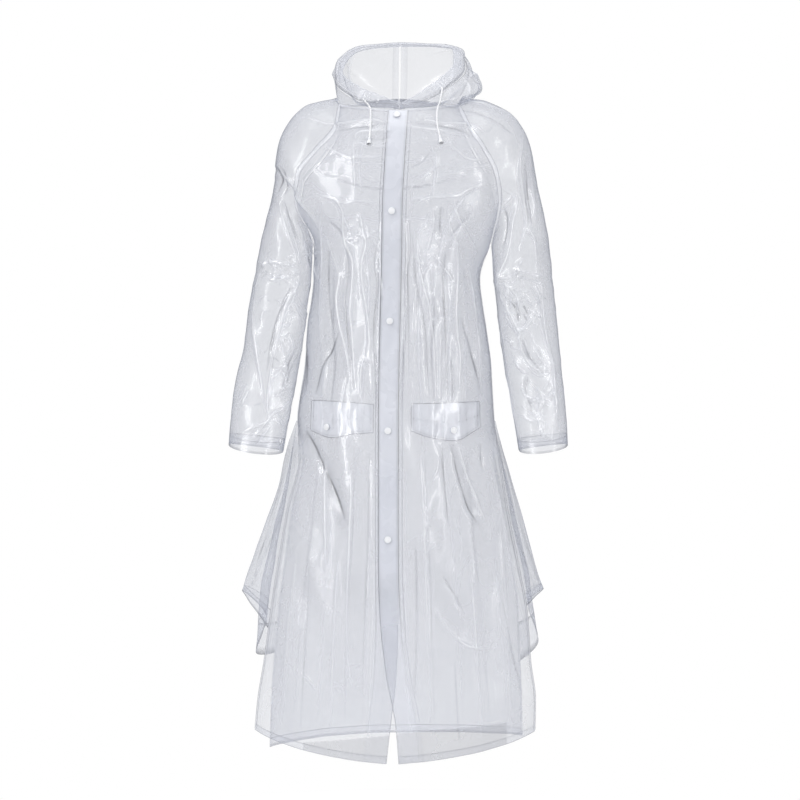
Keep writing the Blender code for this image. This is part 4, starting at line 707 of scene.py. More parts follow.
def back_skin(side, v, s, off=0.0):
    v, s = np.broadcast_arrays(np.asarray(v, float), np.asarray(s, float))
    base = back_point(side, v, s)
    normal = normals(lambda a, b: back_point(side, a, b), v, s, np.array([0, 1, 0.2]), (0, 16))
    height, line = rear_field(base)
    calm = 1 - smooth(0.90, 1.0, np.abs(s)) * smooth(4.6, 5.4, v) * 0.85
    return base + normal * (off + height * calm)[..., None], line * calm


# rings of creases round the arms: (height, tilt, half, depth, where round, how far round), millimetres and u
RINGS = {
    "r": ((-296, 14, 7, 3.2, 0.0, 0.35), (-318, -10, 6, -3.0, 0.05, 0.3), (-340, 12, 7, 2.6, -0.1, 0.4), (-392, 16, 9, 2.6, 0.1, 0.35), (-446, -14, 8, 2.4, 0.0, 0.3), (-500, 12, 9, 2.2, 0.15, 0.35),
          (-556, -10, 8, 2.0, -0.05, 0.3), (-598, 8, 7, -1.8, 0.1, 0.4), (-340, -16, 7, 3.0, 0.9, 0.35), (-372, 12, 7, -2.6, -0.9, 0.3), (-420, -14, 8, 2.6, 0.95, 0.4), (-470, 12, 8, 2.4, -0.92, 0.3),
          (-530, -12, 9, 2.2, 0.9, 0.35), (-210, 10, 12, 2.6, 0.05, 0.4), (-250, -12, 10, 2.6, 0.2, 0.4), (-160, 10, 12, -2.0, 0.2, 0.4)),
    "l": ((-300, -12, 7, 3.0, 0.0, 0.35), (-326, 12, 6, -3.0, 0.0, 0.3), (-352, -12, 7, 3.2, 0.05, 0.4), (-384, 10, 7, 2.6, -0.05, 0.35), (-430, -14, 9, 2.4, 0.1, 0.35), (-486, 12, 8, 2.4, 0.0, 0.3),
          (-540, -12, 9, 2.2, -0.05, 0.35), (-588, 10, 8, -2.0, 0.1, 0.35), (-336, 14, 7, 3.2, 0.92, 0.35), (-366, -12, 7, -2.8, -0.92, 0.3), (-404, 12, 8, 2.8, -0.95, 0.35), (-452, -12, 8, 2.4, 0.9, 0.35),
          (-520, 12, 9, 2.2, -0.9, 0.3), (-205, -10, 12, 2.4, 0.05, 0.4), (-246, 12, 10, 2.6, -0.15, 0.4), (-150, -10, 12, -2.0, 0.15, 0.4)),
}


def sleeve_skin(side, v, u, off=0.0):
    v, u = np.broadcast_arrays(np.asarray(v, float), np.asarray(u, float))
    base = sleeve_point(side, v, u)
    normal = normals(lambda a, b: sleeve_point(side, a, b), v, u, np.stack([base[..., 0] - SIDES[side] * 0.21, base[..., 1], 0.02 + 0 * v], -1), (0, 11))
    front_h, front_l = front_field(base)
    rear_h, rear_l = rear_field(base)
    to_rear = smooth(-0.22, 0.16, u)
    height, line = front_h * (1 - to_rear) + rear_h * to_rear, front_l * (1 - to_rear) + rear_l * to_rear
    for place, tilt, half, depth, where, reach in RINGS[side]:
        round_u = np.abs((u - where + 1) % 2 - 1)
        distance = np.abs(base[..., 2] * 1000 - place - tilt * np.sin(3.1 * u)) / half
        height = height + 0.6 * depth / 1000 * np.exp(-(np.sqrt(distance**2 + 0.25) - 0.5)) * np.exp(-((round_u / reach) ** 2))
    height = height * (1 - 0.55 * np.exp(-(((u + 0.02) / 0.13) ** 2)))  # the arm's outer line stays smoother
    # the arm's seam under it keeps the two edges together
    calm = 1 - smooth(0.93, 1.0, np.abs(u)) * smooth(4.6, 5.4, v) * 0.9
    return base + normal * (off + height * calm)[..., None], line * calm


# ------------------------------------------------------------------ making objects
def place(name, data, mat):
    made = bpy.data.objects.new(name, data)
    bpy.context.scene.collection.objects.link(made)
    data.materials.clear()
    data.materials.append(mat)
    return made


def shell(name, grid, line, mat, outward, closed=False):
    """A thin film shell through a grid of points (rows, columns, 3) with its crests as an attribute."""
    rows, columns = grid.shape[:2]
    mesh = bpy.data.meshes.new(name)
    i, j = np.meshgrid(np.arange(rows - 1), np.arange(columns if closed else columns - 1), indexing="ij")
    i, j = i.ravel(), j.ravel()
    k = (j + 1) % columns
    quads = np.stack([i * columns + j, i * columns + k, (i + 1) * columns + k, (i + 1) * columns + j], 1)
    p = grid.reshape(-1, 3)
    cross = np.cross(p[quads[:, 2]] - p[quads[:, 0]], p[quads[:, 3]] - p[quads[:, 1]])
    if (cross * outward(p[quads].mean(1))).sum(-1).mean() < 0:
        quads = quads[:, ::-1]
    mesh.vertices.add(len(p))
    mesh.vertices.foreach_set("co", p.astype(np.float32).ravel())
    mesh.loops.add(quads.size)
    mesh.loops.foreach_set("vertex_index", quads.astype(np.int32).ravel())
    mesh.polygons.add(len(quads))
    mesh.polygons.foreach_set("loop_start", np.arange(0, quads.size, 4, dtype=np.int32))
    mesh.polygons.foreach_set("use_smooth", np.ones(len(quads), bool))
    mesh.update(calc_edges=True)
    mesh.validate()
    crest = mesh.attributes.new("crest", "FLOAT", "POINT")
    crest.data.foreach_set("value", np.clip(line, -1.5, 1.5).astype(np.float32).ravel())
    return place(name, mesh, mat)


def cloth_area(grid):
    a = np.cross(grid[1:, 1:] - grid[:-1, :-1], grid[1:, :-1] - grid[:-1, 1:])
    return float(np.linalg.norm(a, axis=-1).sum() / 2)


def from_axis(p):
    return np.stack([p[..., 0], p[..., 1], 0 * p[..., 0]], -1)


def columns_with_edges(start, end, count, edge):
    """Places from start to end, with one more close to each end so that the cut edge shows."""
    inner = np.linspace(start, end, count)
    small = math.copysign(edge, end - start)
    return np.concatenate([[start, start + small], inner[1:-1], [end - small, end]])


def edge_line(line, sides, value=-0.9):
    """Marks the cut edges of a film, which look darker than its face."""
    line = line.copy()
    for side in sides:
        if side == "left":
            line[:, :2] = value
        elif side == "right":
            line[:, -2:] = value
        elif side == "top":
            line[:2] = value
        elif side == "bottom":
            line[-2:] = value
    return line


def worn(obj, slot, *nodes):
    """A piece of the coat, which stands for CAD nodes if any are named."""
    if nodes:
        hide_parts(*nodes)
    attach(obj, "root")
    return obj


# ------------------------------------------------------------------ materials
class Nodes:
    """A material's node tree, with short ways to add nodes."""

    def __init__(self, name):
        self.material = bpy.data.materials.new(name)
        self.material.use_nodes = True
        self.tree = self.material.node_tree
        self.tree.nodes.clear()
        self.out = self.add("ShaderNodeOutputMaterial")

    def add(self, kind, settings=(), **inputs):
        node = self.tree.nodes.new(kind)
        for key, value in settings:
            setattr(node, key, value)
        for key, value in inputs.items():
            self.put(node, key.replace("_", " "), value)
        return node

    def put(self, node, key, value):
        socket = node.inputs[int(key)] if key.isdigit() else node.inputs[key]
        if isinstance(value, bpy.types.NodeSocket):
            self.tree.links.new(value, socket)
        else:
            socket.default_value = value

    def math(self, operation, a, b=0.0, clamp=False):
        node = self.add("ShaderNodeMath", [("operation", operation), ("use_clamp", clamp)])
        self.put(node, "0", a)
        self.put(node, "1", b)
        return node.outputs[0]

    def spread(self, value, low, high, at_low, at_high):
        node = self.add("ShaderNodeMapRange", [("interpolation_type", "SMOOTHSTEP")], Value=value)
        for key, setting in (("From Min", low), ("From Max", high), ("To Min", at_low), ("To Max", at_high)):
            node.inputs[key].default_value = setting
        return node.outputs[0]

    def noise(self, place, scale, detail=3.0, roughness=0.5, distortion=0.0):
        return self.add("ShaderNodeTexNoise", Vector=place, Scale=scale, Detail=detail, Roughness=roughness, Distortion=distortion).outputs["Fac"]

    def ramp(self, factor, *stops):
        node = self.add("ShaderNodeValToRGB", Fac=factor)
        marks = node.color_ramp.elements
        while len(marks) < len(stops):
            marks.new(0.5)
        for mark, (at, colour) in zip(marks, stops):
            mark.position = at
            mark.color = (*colour, 1)
        return node.outputs["Color"]

    def place(self, seed, stretch=(1.0, 1.0, 1.0)):
        coordinates = self.add("ShaderNodeTexCoord").outputs["Object"]
        mapped = self.add("ShaderNodeMapping", Vector=coordinates)
        mapped.inputs["Location"].default_value = (seed, seed * 0.7, -seed * 1.3)
        mapped.inputs["Scale"].default_value = stretch
        return mapped.outputs["Vector"]


def film(name, seed, clear=0.305, steep=0.36, mark=0.40, tint=(0.535, 0.550, 0.600), clean=(0.960, 0.964, 0.974), rough=0.22, pressed=False, shares=(0.60, 0.48), fade=None):
    """Milky clear film: it lets most of the light through, hazes unevenly, and is denser along sharp creases, with a
    painted highlight along their crests and painted shade along their troughs.
    """
    n = Nodes(name)
    where = n.place(seed)
    cloud = n.noise(where, 5.5, 4.0, 0.5, 0.6)
    middle = n.noise(where, 30.0, 2.0, 0.45, 0.6)
    fine = n.noise(n.place(seed + 3.1, (1.0, 1.0, 0.55)), 300.0, 2.0, 0.5)
    crest = n.add("ShaderNodeAttribute", [("attribute_name", "crest")]).outputs["Fac"]
    facing = n.add("ShaderNodeLayerWeight", Blend=0.5).outputs["Facing"]
    steepness = n.math("MULTIPLY", n.math("POWER", facing, 1.5), steep)
    outline = n.math("POWER", facing, 6.0)
    height = n.add("ShaderNodeSeparateXYZ", Vector=n.add("ShaderNodeTexCoord").outputs["Object"]).outputs["Z"]
    if fade:  # a trim that melts into its panel lower down
        clear = n.math("MULTIPLY", n.spread(height, *fade, 1.0), clear)
    steepness = n.math("ADD", steepness, n.math("MULTIPLY", outline, 0.40))
    haze = n.math("MULTIPLY", n.math("SUBTRACT", cloud, 0.5), 0.21)
    haze = n.math("ADD", haze, n.math("MULTIPLY", n.math("SUBTRACT", middle, 0.5), 0.04))
    # painted highlight and shade: along crease crests the film is made denser and painted nearly white, along their
    # troughs denser and painted dark
    lines = n.math("MULTIPLY", n.math("ABSOLUTE", crest), mark)
    amount = n.math("ADD", n.math("ADD", steepness, clear), n.math("ADD", haze, lines), clamp=True)
    colour = n.ramp(n.math("ADD", n.math("MULTIPLY", crest, 0.5), 0.5), (0.0, tuple(c * 0.30 for c in tint)), (0.5, tint), (1.0, (0.96, 0.965, 0.98)))
    shade = n.ramp(cloud, (0.30, (0.88, 0.89, 0.915)), (0.70, (1.0, 1.0, 1.0)))
    tone = n.add("ShaderNodeMix", [("data_type", "RGBA"), ("blend_type", "MULTIPLY")])
    n.put(tone, "0", 1.0)
    n.tree.links.new(colour, tone.inputs[6])
    n.tree.links.new(shade, tone.inputs[7])
    relief = n.math("ADD", n.math("MULTIPLY", middle, 0.9), n.math("MULTIPLY", fine, 0.03))
    if pressed:
        ribs = n.add("ShaderNodeTexWave", [("wave_type", "BANDS"), ("bands_direction", "DIAGONAL")], Vector=where, Scale=260.0, Distortion=0.4, Detail=1.0).outputs["Fac"]
        relief = n.math("ADD", relief, n.math("MULTIPLY", ribs, 0.12))
    bump = n.add("ShaderNodeBump", Height=relief, Strength=0.17, Distance=0.0024).outputs["Normal"]
    roughness = n.add("ShaderNodeMapRange", Value=middle)
    for key, value in (("From Min", 0.3), ("From Max", 0.7), ("To Min", rough), ("To Max", rough + 0.12)):
        roughness.inputs[key].default_value = value
    halves = []
    # the colour is painted darker towards the outline: partly the longer path through film seen edge-on, partly a
    # painted reflection of darker surroundings
    shaded = n.add("ShaderNodeMix", [("data_type", "RGBA"), ("blend_type", "MULTIPLY")])
    n.put(shaded, "0", 1.0)
    n.tree.links.new(tone.outputs[2], shaded.inputs[6])
    n.tree.links.new(n.ramp(outline, (0.0, (1.0, 1.0, 1.0)), (0.8, (0.45, 0.47, 0.52))), shaded.inputs[7])
    for share in shares:  # what it scatters back, and what it scatters on through
        part = n.add("ShaderNodeMix", [("data_type", "RGBA"), ("blend_type", "MULTIPLY")])
        n.put(part, "0", 1.0)
        n.tree.links.new(shaded.outputs[2], part.inputs[6])
        part.inputs[7].default_value = (share, share, share, 1)
        halves.append(part.outputs[2])
    body = n.add("ShaderNodeBsdfPrincipled", Normal=bump, Roughness=roughness.outputs[0])
    n.tree.links.new(halves[0], body.inputs["Base Color"])
    body.inputs["IOR"].default_value = 1.80
    calm = n.math("SUBTRACT", 1.0, outline)  # no glare along the outline, which stays a thin grey line
    calm = n.math("MULTIPLY", calm, n.spread(height, -0.86, -0.66, 0.42, 1.0))  # and the skirt hangs smooth and satin
    n.put(body, "Coat Weight", n.math("MULTIPLY", calm, 0.9))
    n.put(body, "Specular IOR Level", n.math("MULTIPLY", calm, 0.5))
    body.inputs["Coat Roughness"].default_value = 0.08
    n.tree.links.new(bump, body.inputs["Coat Normal"])
    through = n.add("ShaderNodeBsdfTransparent")
    through.inputs["Color"].default_value = (*clean, 1)
    milk = n.add("ShaderNodeBsdfTranslucent", Color=halves[1])
    both = n.add("ShaderNodeAddShader")
    n.tree.links.new(body.outputs[0], both.inputs[0])
    n.tree.links.new(milk.outputs[0], both.inputs[1])
    mixed = n.add("ShaderNodeMixShader", Fac=amount)
    n.tree.links.new(through.outputs[0], mixed.inputs[1])
    n.tree.links.new(both.outputs[0], mixed.inputs[2])
    n.tree.links.new(mixed.outputs[0], n.out.inputs["Surface"])
    return n.material


def plastic(name, seed):
    """White moulded plastic with a soft gloss, and painted shade where it turns away from view."""
    n = Nodes(name)
    where = n.place(seed)
    cloud = n.noise(where, 120.0, 3.0)
    fine = n.noise(where, 1500.0, 2.0)
    colour = n.ramp(cloud, (0.3, (0.86, 0.87, 0.89)), (0.7, (0.93, 0.935, 0.95)))
    # painted shade: the plastic is painted grey where its surface turns away from view, a dark outline round each snap
    # and toggle
    rim = n.add("ShaderNodeMix", [("data_type", "RGBA"), ("blend_type", "MULTIPLY")])
    n.put(rim, "0", 1.0)
    n.tree.links.new(colour, rim.inputs[6])
    n.tree.links.new(n.ramp(n.add("ShaderNodeLayerWeight", Blend=0.5).outputs["Facing"], (0.30, (1.0, 1.0, 1.0)), (0.85, (0.42, 0.44, 0.50))), rim.inputs[7])
    colour = rim.outputs[2]
    bump = n.add("ShaderNodeBump", Height=n.math("ADD", cloud, n.math("MULTIPLY", fine, 0.3)), Strength=0.12, Distance=0.0006).outputs["Normal"]
    roughness = n.add("ShaderNodeMapRange", Value=fine)
    for key, value in (("From Min", 0.3), ("From Max", 0.7), ("To Min", 0.24), ("To Max", 0.36)):
        roughness.inputs[key].default_value = value
    body = n.add("ShaderNodeBsdfPrincipled", Base_Color=colour, Normal=bump, Roughness=roughness.outputs[0])
    body.inputs["IOR"].default_value = 1.49
    n.tree.links.new(body.outputs[0], n.out.inputs["Surface"])
    return n.material


def braid(name, seed):
    """White braided cord, matt, with painted shade in the grooves between its strands."""
    n = Nodes(name)
    where = n.place(seed)
    cloud = n.noise(where, 160.0, 3.0)
    fibre = n.noise(n.place(seed + 1, (1.0, 1.0, 0.35)), 2600.0, 2.0)
    # painted shade: the cord is painted darker in the grooves between its strands
    groove_shade = n.add("ShaderNodeAttribute", [("attribute_name", "crest")]).outputs["Fac"]
    colour = n.ramp(n.math("ADD", n.math("MULTIPLY", groove_shade, 0.7), n.math("MULTIPLY", fibre, 0.35)), (0.0, (0.60, 0.61, 0.65)), (0.55, (0.86, 0.865, 0.885)), (1.0, (0.94, 0.94, 0.95)))
    bump = n.add("ShaderNodeBump", Height=n.math("ADD", fibre, cloud), Strength=0.35, Distance=0.0004).outputs["Normal"]
    roughness = n.add("ShaderNodeMapRange", Value=cloud)
    for key, value in (("From Min", 0.3), ("From Max", 0.7), ("To Min", 0.62), ("To Max", 0.8)):
        roughness.inputs[key].default_value = value
    body = n.add("ShaderNodeBsdfPrincipled", Base_Color=colour, Normal=bump, Roughness=roughness.outputs[0])
    body.inputs["Sheen Weight"].default_value = 0.25
    n.tree.links.new(body.outputs[0], n.out.inputs["Surface"])
    return n.material


THIN = (0.985, 0.987, 0.992)  # for trims laid on a panel, which add little of their own
FILM = {
    "front_r": film("film_front_right", 0.3),
    "front_l": film("film_front_left", 1.7),
    "back": film("film_back", 2.9, clear=0.315, tint=(0.525, 0.540, 0.595)),
    "sleeve_r": film("film_sleeve_right", 4.1, clear=0.250),
    "sleeve_l": film("film_sleeve_left", 5.3, clear=0.250),
    "gusset": film("film_gusset", 6.7, clear=0.205),
    "hood": film("film_hood", 7.9, clear=0.265, steep=0.22),
    "casing": film("film_casing", 8.3, clear=0.190, mark=0.30, tint=(0.66, 0.675, 0.725), clean=THIN),
    "placket": film("film_placket", 9.1, clear=0.500, mark=0.26, tint=(0.960, 0.965, 0.985), clean=THIN, shares=(0.68, 0.54), fade=(-1.06, -0.84, 0.26)),
    "flap": film("film_flap", 9.9, clear=0.400, tint=(0.84, 0.85, 0.89), clean=THIN, shares=(0.66, 0.53)),
    "hem": film("film_hem", 10.7, clear=0.090, mark=0.34, tint=(0.70, 0.715, 0.77), clean=THIN, pressed=True),
    "facing": film("film_facing", 12.1, clear=0.045, steep=0.20, mark=0.30, tint=(0.88, 0.89, 0.93), clean=THIN),
    "tape": film("film_tape", 11.3, clear=0.320, mark=0.10, tint=(0.90, 0.91, 0.95), clean=THIN, pressed=True),
    "tape_rear": film("film_tape_rear", 13.3, clear=0.070, steep=0.30, mark=0.08, tint=(0.84, 0.85, 0.89), clean=THIN, pressed=True),
}
PLASTIC = plastic("white_plastic_snaps", 2.0)
PLASTIC_TOGGLE = plastic("white_plastic_toggles", 5.0)
CORD_WHITE = braid("white_cord_braid", 3.0)


# ------------------------------------------------------------------ camera, which looks level along +Y
camera = bpy.data.objects.new("camera", bpy.data.cameras.new("camera"))
bpy.context.scene.collection.objects.link(camera)
camera.location = (0.00975, -3.4, -0.5655)
camera.rotation_euler = (math.pi / 2, 0, 0)
camera.data.lens = 78.46
camera.data.sensor_width = 36
camera.data.clip_start = 0.05
bpy.context.scene.camera = camera


# ------------------------------------------------------------------ hood lines, for the casing and the cord
def front_place(side, x, z):
    """Rows and s of places on a front at x and height z."""
    x, z = np.broadcast_arrays(np.asarray(x, float), np.asarray(z, float))
    low, high = np.zeros(x.shape), np.full(x.shape, 16.0)
    for _ in range(32):
        v = (low + high) / 2
        turn = np.radians(read(SEAMS[side], "turn", v))
        xc, xe = read(FRONT, "x", v), read(SEAMS[side], "x", v)
        s = np.arcsin(np.clip((x - xc) / (xe - xc) * np.sin(turn), -1, 1)) / turn
        above = front_point(side, v, s)[..., 2] > z
        low, high = np.where(above, v, low), np.where(above, high, v)
    return (low + high) / 2, s


def hood_path(count):
    """The casing's run from its right front end over the back to its left front end: sides, q, rim, lower line and frame."""
    parts = []
    for side in "rl":
        q = np.linspace(TURN[side]["q"][0], 2.985, count)
        rim, low = hood_at(side, q, 0.0)[0], hood_at(side, q, casing_width(q))[0]
        parts.append((q, rim, low) if side == "r" else (q[::-1], rim[::-1], low[::-1]))
    q = np.concatenate([parts[0][0], parts[1][0]])
    rim, low = (np.concatenate([parts[0][k], parts[1][k]]) for k in (1, 2))
    middle = (rim + low) / 2
    along = unit(np.gradient(middle, axis=0))
    for _ in range(3):
        along[1:-1] = unit(along[:-2] + 2 * along[1:-1] + along[2:])
    across = unit(rim - low)
    across = unit(across - along * (across * along).sum(-1, keepdims=True))
    return np.array(["r"] * count + ["l"] * count), q, rim, low, middle, along, across, unit(np.cross(across, along))


PATH = hood_path(170)
CORD_LINE = PATH[4] - PATH[6] * np.maximum(CORD_FROM_RIM - casing_width(PATH[1]) / 2, 0.0)[:, None]
EXITS = {}
for side in "rl":
    index = np.flatnonzero(PATH[0] == side)
    reach = np.abs(PATH[4][index, 0] - 0.0122)
    order = index if side == "r" else index[::-1]
    reach = np.abs(PATH[4][order, 0] - 0.0122)
    EXITS[side] = int(order[np.argmax(reach > abs(CORD_EXIT_X[side] - 0.0122))])
run = np.concatenate([[0], np.cumsum(np.linalg.norm(np.diff(PATH[4], axis=0), axis=1))])


# ------------------------------------------------------------------ drawcord
def evenly(points, spacing):
    points = np.array(points)
    length = np.concatenate([[0], np.cumsum(np.linalg.norm(np.diff(points, axis=0), axis=1))])
    at = np.linspace(0, length[-1], max(int(round(length[-1] / spacing)), 2) + 1)
    return np.stack([np.interp(at, length, points[:, k]) for k in range(3)], 1)


def curve_through(knots, spacing):
    p = np.array(knots)
    before, after = np.vstack([2 * p[0] - p[1], p[:-2]]), np.vstack([p[2:], 2 * p[-1] - p[-2]])
    t = np.linspace(0, 1, 16, endpoint=False)[:, None]
    out = []
    for i in range(len(p) - 1):
        a, b = p[i], p[i + 1]
        da, db = (b - before[i]) / 2, (after[i] - a) / 2
        out.append(a * (1 + 2 * t) * (1 - t) ** 2 + da * t * (1 - t) ** 2 + b * t * t * (3 - 2 * t) - db * t * t * (1 - t))
    return evenly(np.vstack(out + [p[-1:]]), spacing)


def braided(name, path, diameter, sides=20):
    """A round braid: a tube along a path with the relief of its strands crossing."""
    along = unit(np.gradient(path, axis=0))
    first = np.cross(along[0], [0.3, 0.9, 0.1])
    frames = []
    for t in along:
        first = first - t * (first @ t)
        first = first / np.linalg.norm(first)
        frames.append((first, np.cross(t, first)))
    length = np.concatenate([[0], np.cumsum(np.linalg.norm(np.diff(path, axis=0), axis=1))])
    theta = np.arange(sides) * 2 * math.pi / sides
    turn = 2 * math.pi * length[:, None] / 0.0072
    strand = np.maximum(np.sin(3 * theta + turn), np.sin(3 * theta - turn + 0.6))
    radius = diameter / 2 * (0.955 + 0.065 * strand)
    radius[0] *= 0.8
    radius[-1] *= 0.8
    ring = np.stack([np.cos(theta), np.sin(theta)], -1)
    a, b = np.array([f[0] for f in frames]), np.array([f[1] for f in frames])
    grid = path[:, None] + radius[..., None] * (ring[None, :, :1] * a[:, None] + ring[None, :, 1:] * b[:, None])
    made = shell(name, grid, 0.5 + 0.5 * strand, CORD_WHITE, lambda p: p - path[np.argmin(np.linalg.norm(p[:, None] - path[None, ::4], axis=-1), 1) * 4], closed=True)
    mesh = made.data
    capped = bmesh_caps(mesh, sides, len(path))
    made.data = capped
    return made


def bmesh_caps(mesh, sides, rows):
    import bmesh

    bm = bmesh.new()
    bm.from_mesh(mesh)
    bm.verts.ensure_lookup_table()
    for ring in (range(sides), range((rows - 1) * sides, rows * sides)):
        bm.faces.new([bm.verts[i] for i in ring])
    bmesh.ops.recalc_face_normals(bm, faces=bm.faces)
    for f in bm.faces:
        f.smooth = True
    bm.to_mesh(mesh)
    bm.free()
    return mesh


inside = evenly(CORD_LINE[EXITS["r"] : EXITS["l"] + 1], 0.0011)
worn(braided("cord_in_casing", inside[2:-2], CORD, 14), "white_cord", "cord_casing")


def turned(name, pairs, mat, location, axis, steps=44, spin=0.0):
    """A turned shape from its profile (radius, height), top to bottom, along an axis."""
    pairs = np.array(pairs)
    axis = unit(np.array(axis, float))
    side = unit(np.cross(axis, [0.31, 0.2, 0.93]))
    other = np.cross(axis, side)
    theta = np.arange(steps) * 2 * math.pi / steps + spin
    grid = np.array(location) + pairs[:, None, :1] * (np.cos(theta)[None, :, None] * side + np.sin(theta)[None, :, None] * other) + pairs[:, None, 1:] * axis
    made = shell(name, grid, np.zeros(grid.shape[:2]), mat, lambda p: p - (np.array(location) + axis * ((p - location) @ axis)[:, None] * 0.999), closed=True)
    return made


def rounded(pairs, pieces=4):
    """A profile with its corners rounded a little."""
    p = np.array(pairs, float)
    out = [p[0]]
    for i in range(1, len(p) - 1):
        a, b, c = p[i - 1], p[i], p[i + 1]
        cut = min(np.linalg.norm(b - a), np.linalg.norm(c - b)) * 0.42
        start, end = b + (a - b) / np.linalg.norm(a - b) * cut, b + (c - b) / np.linalg.norm(c - b) * cut
        for t in np.linspace(0, 1, pieces):
            out.append(start * (1 - t) ** 2 + b * 2 * t * (1 - t) + end * t * t)
    out.append(p[-1])
    return np.array(out)


BELL = rounded(((0.0008, 0.0009), (0.0021, 0.0009), (0.0028, 0.0002), (0.0029, -0.0012), (0.0028, -0.0022), (0.0035, -0.0040), (0.0042, -0.0066), (0.0047, -0.0096), (0.0050, -0.0124), (0.0050, -0.0146), (0.0043, -0.0153), (0.0037, -0.0148), (0.0029, -0.0118), (0.0016, -0.0108), (0.0004, -0.0108)))
KNOT = rounded(((0.0002, -0.0098), (0.0014, -0.0102), (0.0020, -0.0116), (0.0014, -0.0130), (0.0003, -0.0134)))
for side, word in (("r", "right"), ("l", "left")):
    k = EXITS[side]
    start, out = CORD_LINE[k], PATH[7][k]
    knots = [start + out * 0.0002, start + out * 0.0050, start + out * 0.0080 + np.array([0, 0, -0.0030])]
    ends = CORD_ENDS[side]
    v, s = front_place(side, ends["x"], ends["z"])
    skin, _ = front_skin(side, v, s)
    plain, _ = front_skin(side, v, s, 0.0, 0.0)
    normal = normals(lambda a, b, side=side: front_point(side, a, b), v, s, np.array([0, -1, 0.2]), (0, 16))
    lift = np.maximum(((skin - plain) * normal).sum(-1), 0)
    for x, z, off, a, b, up in zip(ends["x"], ends["z"], ends["off"], v, s, lift):
        spot, _ = front_skin(side, a, b, off + min(up, 0.0035) * (off < 0.009), 0.0)
        knots.append(spot)
    route = curve_through(knots, 0.0008)
    cord = braided("drawcord_" + word, route, CORD)
    down = unit(route[-1] - route[-3])
    tilt = unit(down + np.array([0, -0.22, -0.1]))
    bell = turned("bell_toggle_" + word, BELL, PLASTIC_TOGGLE, route[-1] + down * 0.0006, -tilt)
    knot = turned("cord_knot_" + word, KNOT, CORD_WHITE, route[-1] + down * 0.0006, -tilt, 20)
    worn(cord, "white_cord", "cord_" + word)
    worn(bell, "white_plastic", "toggle_" + word)
    worn(knot, "white_cord")
    print("free cord", side, round(float(np.linalg.norm(np.diff(route, axis=0), axis=1).sum()), 4), "start", start.round(4))


# ------------------------------------------------------------------ panels
def even_rows(point_of, start, end, count):
    """Rows evenly spaced along a panel's length."""
    v = np.linspace(start, end, 500)
    length = np.concatenate([[0], np.cumsum(np.linalg.norm(np.diff(point_of(v), axis=0), axis=1))])
    return np.interp(np.linspace(0, length[-1], count), length, v)


def seam_s(surface, side, v):
    a, b = surface(side, v, 1.0 + 0 * v), surface(side, v, 0.95 + 0 * v)
    return 1 - 0.05 * SEAM / np.linalg.norm(a - b, axis=-1)


def flat_size(grid):
    """The width and length of a grid laid flat, and its area."""
    across = np.linalg.norm(np.diff(grid, axis=1), axis=-1).sum(1).max()
    down = np.linalg.norm(np.diff(grid, axis=0), axis=-1).sum(0).max()
    return round(float(across), 3), round(float(down), 3), round(cloth_area(grid), 4)


CUT = {}
WITH = {}


def panel(name, node, grid, line, mat, outward, plain):
    made = worn(shell(name, grid, line, mat, outward), "clear_film", node)
    CUT[name] = flat_size(plain)
    WITH[name] = []
    return made


def trim(name, owner, grid, line, mat, outward):
    """A hem, tape or facing, which goes with the panel it is on."""
    made = worn(shell(name, grid, line, mat, outward), "clear_film")
    WITH[owner].append(made)
    return made


FRONT_ROWS = {}
EDGES = {}
for side, word in (("r", "right"), ("l", "left")):
    v = even_rows(lambda a, side=side: front_point(side, a, 0.45 + 0 * a), 0, 16, 540)
    v = np.concatenate([v[:-1], [16 - 0.0009 / 0.078, 16]])
    v = np.sort(v)
    start, end = centre_s(side, v, read(FRONT, "lap", v)), seam_s(front_point, side, v)
    w = columns_with_edges(0.0, 1.0, 146, 0.003)
    s = start[:, None] + (end - start)[:, None] * w[None]
    grid, line = front_skin(side, v[:, None], s)
    plain = front_point(side, np.broadcast_to(v[:, None], s.shape), s)
    # the front's film is made darker and denser below the back's hem
    below = np.interp(grid[..., 0], (-0.167, -0.009, 0.038, 0.211), (-1.199, -1.180, -1.173, -1.1665))
    line = edge_line(line - 0.42 * smooth(0.0, 0.0025, below - grid[..., 2]) * (np.abs(grid[..., 0] - 0.02) < 0.19), ["left", "bottom"], -0.55)
    panel("front_panel_" + word, "front_" + word, grid, line, FILM["front_" + side], from_axis, plain)
    EDGES[side, "front"] = grid[:, -1]
    FRONT_ROWS[side] = v, start, end

v = even_rows(lambda a: back_point("r", a, 0.4 + 0 * a), 0, 16, 378)
grids, lines, plains = [], [], []
for side in "rl":
    end = seam_s(back_point, side, v)
    s = end[:, None] * np.linspace(1, 0, 86)[None] if side == "r" else end[:, None] * np.linspace(0, 1, 86)[None, 1:]
    g, l = back_skin(side, v[:, None], s)
    grids.append(g)
    lines.append(l)
    plains.append(back_point(side, np.broadcast_to(v[:, None], s.shape), s))
grid, line, plain = (np.concatenate(x, 1) for x in (grids, lines, plains))
panel("back_panel", "back", grid, edge_line(line, ["bottom"], -0.55), FILM["back"], from_axis, plain)
EDGES["r", "back"], EDGES["l", "back"] = grid[:, 0], grid[:, -1]

for side, word in (("r", "right"), ("l", "left")):
    v = even_rows(lambda a, side=side: sleeve_point(side, a, -0.5 + 0 * a), 0, 11, 260)
    u = np.linspace(-1, 1, 181)
    grid, line = sleeve_skin(side, v[:, None], u[None])
    plain = sleeve_point(side, v[:, None], u[None])
    outward = lambda p, side=side: np.stack([p[..., 0] - SIDES[side] * 0.21, p[..., 1], 0.02 + 0 * p[..., 0]], -1)
    panel("sleeve_panel_" + word, "sleeve_" + word, grid, edge_line(line, ["bottom"], -0.55), FILM["sleeve_" + side], outward, plain)


# ------------------------------------------------------------------ gussets
def at_height(line, z):
    order = np.argsort(line[:, 2])
    return np.stack([np.interp(z, line[order, 2], line[order, k]) for k in range(3)], -1)


